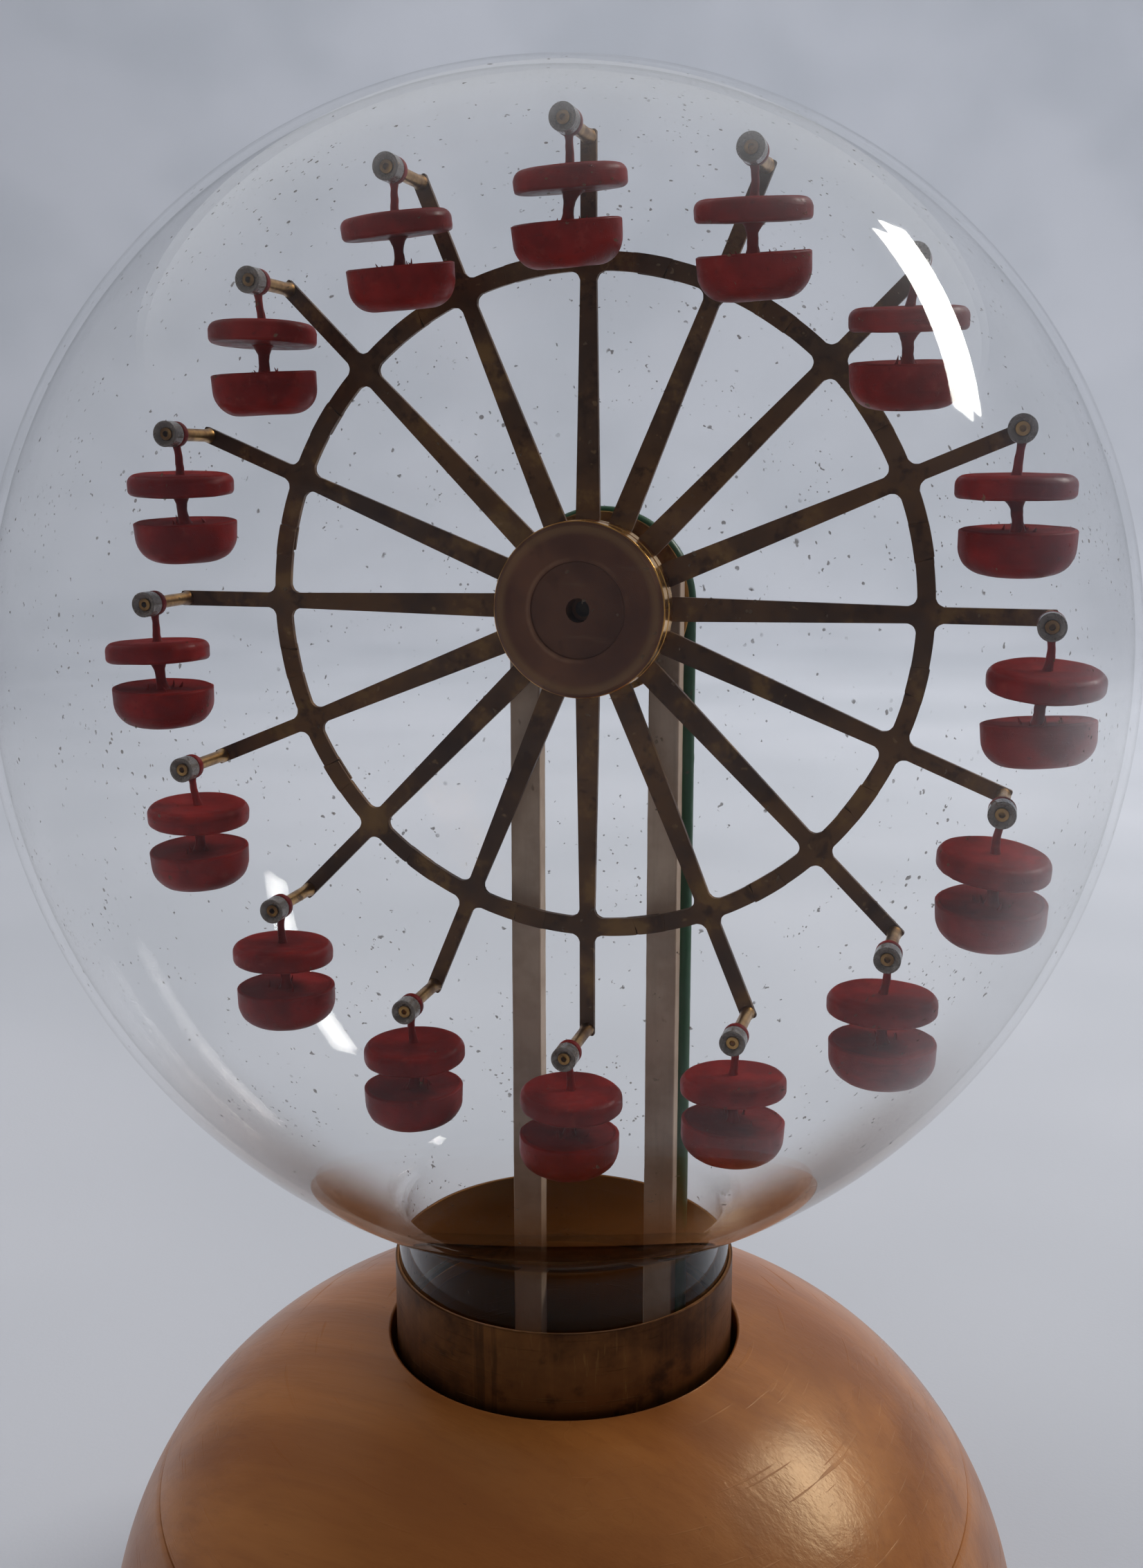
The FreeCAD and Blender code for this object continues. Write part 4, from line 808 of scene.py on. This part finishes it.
spoke_brass, surface, place = finish("brown_sheet_brass")
fine = place.clouds(260, detail=6, roughness=0.7)
broad = place.clouds(45, detail=4, roughness=0.6)
rub = place.stretched((500, 100, 500)).clouds(1.0, detail=2)
skin = broad.fade(0.32, 0.68).blend(tone(64, 44, 32), tone(102, 70, 42))
skin = (fine.fade(0.52, 0.64) * 0.6).blend(skin, tone(46, 28, 20))
skin = (place.clouds(90, detail=5, roughness=0.7).fade(0.52, 0.66) * 0.6).blend(skin, tone(132, 98, 54))
skin = (rub.fade(0.66, 0.72) * 0.35).blend(skin, tone(150, 118, 80))
coat(surface, {
    "Base Color": skin,
    "Metallic": 0.55,
    "Roughness": fine.fade(0.3, 0.7, 0.38, 0.55),
    "Normal": (fine * 0.9 + rub * 0.3).relief(0.35, 0.0002),
})
shaky = random.Random(5)
for index in range(SPOKES):
    seat(spoke_mesh(index, shaky), "wheel", "dark_brass", spoke_brass, f"spoke_{index + 1:02d}")


# ---------------------------------------------------------------- hanger pins and their caps
# Round brass pins stand out in front of the spoke tips. A slice of clear tube, pushed on each end
# and dished, keeps the gondola's eye on its pin.

PIN_RADIUS = 1.2 * MM
PIN_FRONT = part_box("hanger_pins")[0][1]
PIN_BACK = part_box("hanger_pins")[1][1]
CAP_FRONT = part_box("pin_caps")[0][1]
CAP_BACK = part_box("pin_caps")[1][1]
CAP_RADIUS = 2.4 * MM
PIN_HOLE = 0.55 * MM
PIN_HOLE_DEPTH = 1.6 * MM
SOLDER = 0.24 * MM


def at_each_pin(name, profile, rounds):
    """One mesh with the same turned piece at every pin."""
    bm = bmesh.new()
    for index in range(SPOKES):
        spot = PINS[f"gondola_{index + 1:02d}_swing"]
        place = Matrix.Translation((spot.x, 0, spot.z)) @ ALONG_Y
        turn_into(bm, profile, rounds, place)
    return mesh_piece(name, bm)


pin_profile = soften([
    (0.0, PIN_BACK),
    (0.0, PIN_FRONT + PIN_HOLE_DEPTH),
    (PIN_HOLE, PIN_FRONT + PIN_HOLE_DEPTH),
    (PIN_HOLE, PIN_FRONT),
    (PIN_RADIUS, PIN_FRONT, 0.15 * MM),
    (PIN_RADIUS, PIN_BACK - 1.2 * MM),
    (PIN_RADIUS + 0.22 * MM, PIN_BACK - 0.3 * MM, 0.3 * MM),
    (PIN_RADIUS + SOLDER, PIN_BACK),
])[1:]
pin_profile = [(0.0, PIN_BACK)] + pin_profile[::-1]
seat(at_each_pin("brass_pins", pin_profile, 28), "wheel", "bright_brass", bright_brass, "hanger_pins")

clear_tube, surface, place = finish("clear_tube")
haze = place.clouds(600, detail=3)
coat(surface, {
    "Base Color": haze.fade(0.3, 0.7).blend(tone(150, 140, 132), tone(120, 108, 98)),
    "Roughness": haze.fade(0.3, 0.7, 0.16, 0.34),
    "Transmission Weight": 0.45,
    "IOR": 1.45,
    "Normal": haze.relief(0.15, 0.0001),
})
cap_profile = soften([
    (PIN_RADIUS, CAP_BACK, 0.1 * MM),
    (PIN_RADIUS, CAP_FRONT + 0.9 * MM),
    (CAP_RADIUS - 0.35 * MM, CAP_FRONT + 0.05 * MM, 0.1 * MM),
    (CAP_RADIUS, CAP_FRONT + 0.1 * MM, 0.12 * MM),
    (CAP_RADIUS, CAP_BACK, 0.2 * MM),
])
seat(at_each_pin("tube_caps", cap_profile, 36), "wheel", "clear_cap", clear_tube, "pin_caps")


# ---------------------------------------------------------------- gondolas
# Each gondola is cast in one piece of red resin: a flat eye, a thin stem, a cushion-shaped roof and
# a tub hung below it by a short post. Mould lines are rough, and no two came out quite alike.

ROOF_DROP = 7.2 * MM
ROOF_RADIUS = 9.8 * MM
ROOF_THICK = 4 * MM
TUB_GAP = 4.8 * MM
TUB_DEPTH = 7.6 * MM
TUB_RADIUS = 9.6 * MM
EYE_THICK = 1.6 * MM
EYE_RADIUS = 2.4 * MM
# How each one came out, clockwise from the top: roll and pitch of its roof, roll and pitch of its tub,
# in degrees, and how far roof and tub sit to the right of the eye, in millimetres.
CAST = [
    (-3, 7, -3, 8, 0.3, -0.4), (0, 8, -2, 8, 0.0, 0.2), (0, 6, 0, 6, -0.9, -0.8),
    (0, 2, 0, 3, -0.6, 0.1), (2, 7, -4, -3, -0.4, -1.3), (6, 5, 0, 6, -0.9, -1.0),
    (0, -1, 0, 0, -0.8, -0.5), (-2, -3, 1, -2, -0.3, -0.2),
    (1, 1, -1, 0, 0.4, 0.0), (-1, 1, -1, 0, 0.5, 0.2), (1, -1, 0, 0, 0.2, 0.6), (2, 4, -1, 4, 1.1, 0.9),
    (-2, -1, 1, 2, 0.2, 1.0), (1, 4, 0, 4, 0.5, 1.1), (1, -2, -2, 3, 0.7, 0.6), (-5, 7, -3, 8, 0.2, 0.7),
]

red_resin, surface, place = finish("red_resin")
cloudy = place.clouds(110, detail=5, roughness=0.6)
chips = place.clouds(900, detail=3, roughness=0.7).fade(0.60, 0.68)
dust = place.clouds(300, detail=4, roughness=0.7)
pulls = place.stretched((60, 60, 900)).clouds(1.0, detail=3, roughness=0.6, distortion=0.6)
resin = cloudy.fade(0.35, 0.68).blend(tone(100, 14, 12), tone(134, 26, 22))
resin = (dust.fade(0.55, 0.72) * 0.25).blend(resin, tone(160, 74, 62))
resin = (pulls.fade(0.58, 0.70) * 0.3).blend(resin, tone(76, 16, 16))
resin = (chips * 0.4).blend(resin, tone(70, 18, 18))
upward = place.node("ShaderNodeTexCoord", out=1).part("Z")
coat(surface, {
    "Base Color": resin,
    "Specular IOR Level": 0.12,
    "Roughness": dust.fade(0.3, 0.7, 0.32, 0.52) + upward.fade(0.80, 0.97) * 0.45,
    "Normal": (cloudy * 0.9 + dust * 0.4 + pulls * 0.4 + chips * 0.4).relief(0.4, 0.00035),
    "Subsurface Weight": 0.12,
    "Subsurface Radius": (1.0, 0.25, 0.2),
    "Subsurface Scale": 0.001,
})


def rod_into(bm, start, end, radii, bow, seed, sides=14, slices=12):
    """Thin round bit of resin from start to end, bowed and lumpy; radii are spread along it."""
    along = (end - start).normalized()
    side = along.orthogonal().normalized()
    other = along.cross(side)
    loops = []
    for index in range(slices + 1):
        part = index / slices
        spread = part * (len(radii) - 1)
        lower = min(int(spread), len(radii) - 2)
        radius = radii[lower] + (radii[lower + 1] - radii[lower]) * (spread - lower)
        centre = start.lerp(end, part) + bow * math.sin(math.pi * part)
        loop = []
        for step in range(sides):
            turn = 2 * math.pi * step / sides
            out = side * math.cos(turn) + other * math.sin(turn)
            lump = 1 + 0.16 * noise.noise(centre * 900 + out + Vector((seed, 0, 0)))
            loop.append(bm.verts.new(centre + out * radius * lump))
        loops.append(loop)
    for lower, upper in zip(loops, loops[1:]):
        for step in range(sides):
            following = (step + 1) % sides
            bm.faces.new([lower[step], lower[following], upper[following], upper[step]])
    bm.faces.new(loops[0])
    bm.faces.new(loops[-1])


def leaning(middle, pitch, roll, spin):
    """Place of a disc that leans by degrees, after a spin about its own axis."""
    lean = Euler((math.radians(pitch), math.radians(roll), 0)).to_matrix().to_4x4()
    return Matrix.Translation(middle) @ lean @ Matrix.Rotation(spin, 4, "Z")


def gondola_mesh(index, shaky):
    """Roof, tub, post, stem and eye with moulding flaws."""
    eye = PINS[f"gondola_{index + 1:02d}_swing"]
    roof_roll, roof_pitch, tub_roll, tub_pitch, roof_aside, tub_aside = CAST[index]
    roof_low = -ROOF_THICK / 2
    tub_low = -TUB_DEPTH
    roof_middle = Vector((roof_aside * MM, 0, -ROOF_DROP - ROOF_THICK / 2))
    tub_middle = Vector((tub_aside * MM, 0, -ROOF_DROP - ROOF_THICK - TUB_GAP))
    spin = math.radians(shaky.uniform(0, 360))
    roof_place = leaning(roof_middle, roof_pitch, roof_roll, spin)
    tub_place = leaning(tub_middle, tub_pitch, tub_roll, spin)
    roof = soften([
        (0.0, ROOF_THICK / 2 - 0.25 * MM),
        (ROOF_RADIUS * 0.5, ROOF_THICK / 2 - 0.1 * MM, 8 * MM),
        (ROOF_RADIUS * 0.78, ROOF_THICK / 2, 3 * MM),
        (ROOF_RADIUS, ROOF_THICK / 2 - 0.35 * MM, 1.6 * MM),
        (ROOF_RADIUS, roof_low + 0.1 * MM, 0.9 * MM),
        (ROOF_RADIUS * 0.6, roof_low),
        (0.0, roof_low),
    ], 7)
    tub = soften([
        (0.0, -0.6 * MM),
        (6.5 * MM, -0.45 * MM),
        (TUB_RADIUS - 1.1 * MM, -0.2 * MM, 0.4 * MM),
        (TUB_RADIUS - 0.6 * MM, 0.0, 0.2 * MM),
        (TUB_RADIUS, -0.25 * MM, 0.25 * MM),
        (TUB_RADIUS - 0.2 * MM, tub_low, 4.6 * MM),
        (4.0 * MM, tub_low),
        (0.0, tub_low + 0.1 * MM),
    ], 9)
    seed = Vector((index * 3.7, index * 1.3, 0))

    def moulded(point, angle):
        swell = noise.noise(point * 110 + seed) * 0.22 * MM + noise.noise(point * 420 + seed) * 0.09 * MM
        radial = math.hypot(point.x, point.y)
        if radial > 3 * MM:
            ragged = max(0.0, noise.noise(Vector((math.cos(angle) * 7, math.sin(angle) * 7,
                                                  index + point.z * 90))))
            if abs(point.z) < 0.3 * MM or abs(point.z - roof_low) < 0.5 * MM:
                swell += 0.35 * MM * ragged ** 2
            point = point + Vector((point.x, point.y, 0)) / radial * swell
        point.z += noise.noise(point * 160 + seed * 2) * 0.10 * MM
        return point

    bm = bmesh.new()
    turn_into(bm, roof, 80, roof_place, moulded)
    turn_into(bm, tub, 80, tub_place, moulded)
    bow = Vector((shaky.uniform(-0.35, 0.35), shaky.uniform(-0.2, 0.2), 0)) * MM
    roof_top = roof_place @ Vector((0, 0, ROOF_THICK / 2 - 0.5 * MM))
    rod_into(bm, Vector((0, 0, -EYE_RADIUS + 0.4 * MM)), roof_top,
             [0.85 * MM, 0.66 * MM, 0.70 * MM, 0.74 * MM, 0.78 * MM, 1.0 * MM], bow, index)
    under_roof = roof_place @ Vector((0, 0, roof_low + 0.4 * MM))
    on_tub = tub_place @ Vector((0, 0, -0.9 * MM))
    rod_into(bm, under_roof, on_tub,
             [2.3 * MM, 1.5 * MM, 1.05 * MM, 0.95 * MM, 0.95 * MM, 1.1 * MM, 1.5 * MM],
             bow * -0.8, index + 40)
    for burr in range(5):
        turn = shaky.uniform(0, 2 * math.pi)
        reach = shaky.uniform(1.6, 4.2) * MM
        foot = Vector((math.cos(turn) * reach, math.sin(turn) * reach, -0.7 * MM))
        lean = Vector((shaky.uniform(-0.6, 0.6), shaky.uniform(-0.6, 0.6), shaky.uniform(0.9, 1.7))) * MM
        rod_into(bm, tub_place @ foot, tub_place @ (foot + lean), [0.34 * MM, 0.2 * MM, 0.05 * MM],
                 lean.orthogonal().normalized() * 0.12 * MM, burr, sides=6, slices=4)
    ring = soften([
        (1.28 * MM, -EYE_THICK / 2, 0.15 * MM),
        (EYE_RADIUS, -EYE_THICK / 2, 0.4 * MM),
        (EYE_RADIUS, EYE_THICK / 2, 0.4 * MM),
        (1.28 * MM, EYE_THICK / 2, 0.15 * MM),
    ], 4)
    turn_into(bm, ring, 36, ALONG_Y)
    for vert in bm.verts:
        vert.co += eye
    return mesh_piece(f"cast_gondola_{index + 1:02d}", bm, 45)


shaky = random.Random(11)
for index in range(SPOKES):
    name = f"gondola_{index + 1:02d}"
    seat(gondola_mesh(index, shaky), name, "red_resin", red_resin, name)


# ---------------------------------------------------------------- glass globe
# One blown shell of clear glass, about 1.5 mm thick, with a straight neck that stands in the collar.
# It is faintly uneven, as blown glass is, and carries specks of dust.

GLOBE_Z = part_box("glass_globe")[1][2] - 100 * MM
GLOBE_RADIUS = 100 * MM
SHOULDER = 115 * MM
WALL = 1.5 * MM
NECK = 32.2 * MM
NECK_BLEND = 5 * MM


def globe_profile():
    """Closed section from the top, down the outside, and back up the inside."""
    offset = SHOULDER - GLOBE_RADIUS
    blend_x = NECK + NECK_BLEND
    drop = math.sqrt((SHOULDER + NECK_BLEND) ** 2 - (blend_x + offset) ** 2)
    meet = math.degrees(math.atan2(-drop, blend_x + offset))
    outer = arc(0, GLOBE_Z, GLOBE_RADIUS, 90, 0, 96)
    outer[0] = (0.0, GLOBE_Z + GLOBE_RADIUS)
    outer += arc(-offset, GLOBE_Z, SHOULDER, 0, meet, 80)[1:]
    outer += arc(blend_x, GLOBE_Z - drop, NECK_BLEND, meet + 180, 180, 16)[1:]
    outer += [(NECK, NECK_LOW + 8 * MM), (NECK, NECK_LOW + 0.7 * MM),
              (NECK - 0.5 * MM, NECK_LOW + 0.1 * MM)]
    inner = [(NECK - WALL, NECK_LOW + 0.4 * MM), (NECK - WALL, NECK_LOW + 8 * MM)]
    inner += arc(blend_x, GLOBE_Z - drop, NECK_BLEND + WALL, 180, meet + 180, 16)
    inner += arc(-offset, GLOBE_Z, SHOULDER - WALL, meet, 0, 80)[1:]
    inner += arc(0, GLOBE_Z, GLOBE_RADIUS - WALL, 0, 90, 96)[1:]
    inner[-1] = (0.0, GLOBE_Z + GLOBE_RADIUS - WALL)
    return outer + inner


def blown(point, angle):
    """Gentle unevenness of blown glass; the neck stays true."""
    radial = math.hypot(point.x, point.y)
    if radial > NECK + 2 * MM:
        inward = 0.12 * MM * (1 + noise.noise(Vector((point.x, point.y, point.z)) * 14))
        scale = (radial - inward) / radial
        point = Vector((point.x * scale, point.y * scale, point.z))
    return point


clear_glass, surface, place = finish("clear_glass")
tree = clear_glass.node_tree
waves = place.clouds(16, detail=2)
film = place.stretched((18, 18, 40), turn=(0.4, 0.2, 0.9)).clouds(1.0, detail=5, roughness=0.65)
specks = place.cells(240).fade(0.10, 0.16, 1.0, 0.0) * place.clouds(1100, detail=1).fade(0.62, 0.66)
crumbs = place.cells(520).fade(0.12, 0.18, 1.0, 0.0) * place.clouds(40, detail=2).fade(0.54, 0.62)
specks = specks.maths("MAXIMUM", specks, crumbs * place.clouds(900, detail=1).fade(0.54, 0.58))
coat(surface, {
    "Base Color": (1, 1, 1, 1),
    "Metallic": 1.0,
    "Roughness": film.fade(0.3, 0.8, 0.01, 0.07),
    "Normal": waves.relief(0.12, 0.0008),
})
grazing = place.node("ShaderNodeLayerWeight", None, {"Blend": 0.5}, out=1)
mirror_share = 0.007 + 0.90 * grazing.maths("POWER", grazing, 4.5)
clear = place.node("ShaderNodeBsdfTransparent", None, {"Color": (0.992, 0.993, 0.992, 1)})
thick_edge = place.node("ShaderNodeBsdfTransparent", None, {"Color": (0.68, 0.69, 0.69, 1)})
veil = place.node("ShaderNodeBsdfDiffuse", None, {"Color": (0.80, 0.82, 0.84, 1)})
grit = place.node("ShaderNodeBsdfDiffuse", None, {"Color": tone(110, 92, 76)})


def over(share, below, above):
    """Surface that shows above by the share and below for the rest."""
    return place.node("ShaderNodeMixShader", None, {0: share, 1: below, 2: above})


high = place.part("Z")
# Painted reflection: a brownish see-through band low on the globe, set by height and grazing angle,
# stands for the wooden dome mirrored in the glass.
painted_wood_reflection = place.node("ShaderNodeBsdfTransparent", None, {"Color": (0.42, 0.29, 0.21, 1)})
through = over(grazing.fade(0.89, 1.0), clear, thick_edge)
painted_reflection_band = grazing.fade(0.50, 0.86) * high.fade(0.122, 0.154, 0.9, 0.0) * high.fade(0.112, 0.118)
through = over(painted_reflection_band, through, painted_wood_reflection)
through = over(film.fade(0.40, 0.8, 0.0, 0.009) * high.fade(0.118, 0.140, 0.1, 1.0), through, veil)
glassy = over(mirror_share, through, Shade(tree, surface.outputs[0]))
dusted = over(specks * 0.7, glassy, grit)
tree.links.new(dusted.socket, tree.nodes["Material Output"].inputs["Surface"])
seat(turned("blown_globe", globe_profile(), 256, shape=blown, smooth=70), "base", "glass", clear_glass,
     "glass_globe")


# ---------------------------------------------------------------- floor, light and camera
# A pale seamless floor that rises far behind, one long narrow window behind to the right, soft lamps
# above, a dim room in front, and the camera.

def floor_dish():
    """Floor disc that curves up into a low rim all round."""
    profile = [(0.0, 0.0), (0.5, 0.0), (1.2, 0.0), (2.0, 0.0)]
    profile += [(2.0 + 1.0 * math.sin(a), 1.0 - 1.0 * math.cos(a))
                for a in [math.radians(6 * step) for step in range(1, 16)]]
    profile += [(3.0, 2.0)]
    bm = bmesh.new()
    turn_into(bm, profile, 96, Matrix(), closed=False)
    return mesh_piece("pale_floor", bm)


pale, surface, place = finish("pale_backdrop")
weave = place.clouds(900, detail=2)
coat(surface, {
    "Base Color": place.clouds(3, detail=2).fade(0.3, 0.7).blend(tone(190, 194, 202),
                                                                 tone(202, 205, 213)),
    "Roughness": 0.85,
    "Normal": weave.relief(0.1, 0.0004),
})
floor = floor_dish()
floor.data.materials.append(pale)


def lamp(name, spot, aim, size, power, colour=(1, 1, 1), along=None, shines=False):
    """Flat lamp at spot that faces aim. along sets its long side; only one that shines is mirrored."""
    data = bpy.data.lights.new(name, "AREA")
    data.shape = "RECTANGLE"
    data.size = size[0]
    data.size_y = size[1]
    data.energy = power
    data.color = colour
    made = bpy.data.objects.new(name, data)
    away = (Vector(spot) - Vector(aim)).normalized()
    side = Vector(along or (-away.y, away.x, 0)).normalized()
    up = away.cross(side).normalized()
    side = up.cross(away)
    made.matrix_world = Matrix.Translation(spot) @ Matrix((side, up, away)).transposed().to_4x4()
    made.visible_glossy = shines
    bpy.context.scene.collection.objects.link(made)
    return made


MIDDLE = (0, 0, 0.2)
lamp("long_window", (1.246, 0.949, 1.439), MIDDLE, (1.01, 0.15), 18, (1.0, 0.97, 0.92),
     along=(0.784, -0.533, -0.359), shines=True)
lamp("warm_side", (0.9, -0.15, 0.35), (0, 0, 0.08), (0.3, 0.4), 0.25, (1.0, 0.82, 0.56))
lamp("left_fill", (-1.0, -0.3, 0.7), (0, 0, 0.08), (0.6, 0.6), 2.6, (1.0, 0.95, 0.88))
lamp("wall_wash", (0.0, 1.5, 1.9), (0.0, 3.3, 0.7), (2.6, 0.6), 17, (0.98, 0.99, 1.0))
lamp("floor_wash", (0.1, 1.3, 1.7), (0.1, 1.1, 0.0), (1.6, 1.0), 12, (0.98, 0.98, 1.0))

world = bpy.data.worlds.new("studio")
bpy.context.scene.world = world
world.use_nodes = True
tree = world.node_tree
around = Shade(tree, tree.nodes.new("ShaderNodeTexCoord").outputs["Generated"])
room = around.part("Y").fade(-0.7, 0.7).blend((0.14, 0.135, 0.13, 1), (0.80, 0.82, 0.86, 1))
tree.links.new(room.socket, tree.nodes["Background"].inputs["Color"])
tree.nodes["Background"].inputs["Strength"].default_value = 0.62

AZIMUTH = math.radians(15.41)
ELEVATION = math.radians(11.24)
DISTANCE = 293.71 * MM
TARGET = Vector((1.52, 0, 194.12)) * MM
camera_data = bpy.data.cameras.new("camera")
camera_data.lens = 36.39
camera_data.sensor_width = 36
camera_data.clip_start = 0.01
camera = bpy.data.objects.new("camera", camera_data)
toward = Vector((math.sin(AZIMUTH) * math.cos(ELEVATION), -math.cos(AZIMUTH) * math.cos(ELEVATION),
                 math.sin(ELEVATION)))
camera.location = TARGET + toward * DISTANCE
camera.rotation_euler = (-toward).to_track_quat("-Z", "Y").to_euler()
bpy.context.scene.collection.objects.link(camera)
bpy.context.scene.camera = camera
bpy.context.scene.view_settings.view_transform = "Standard"
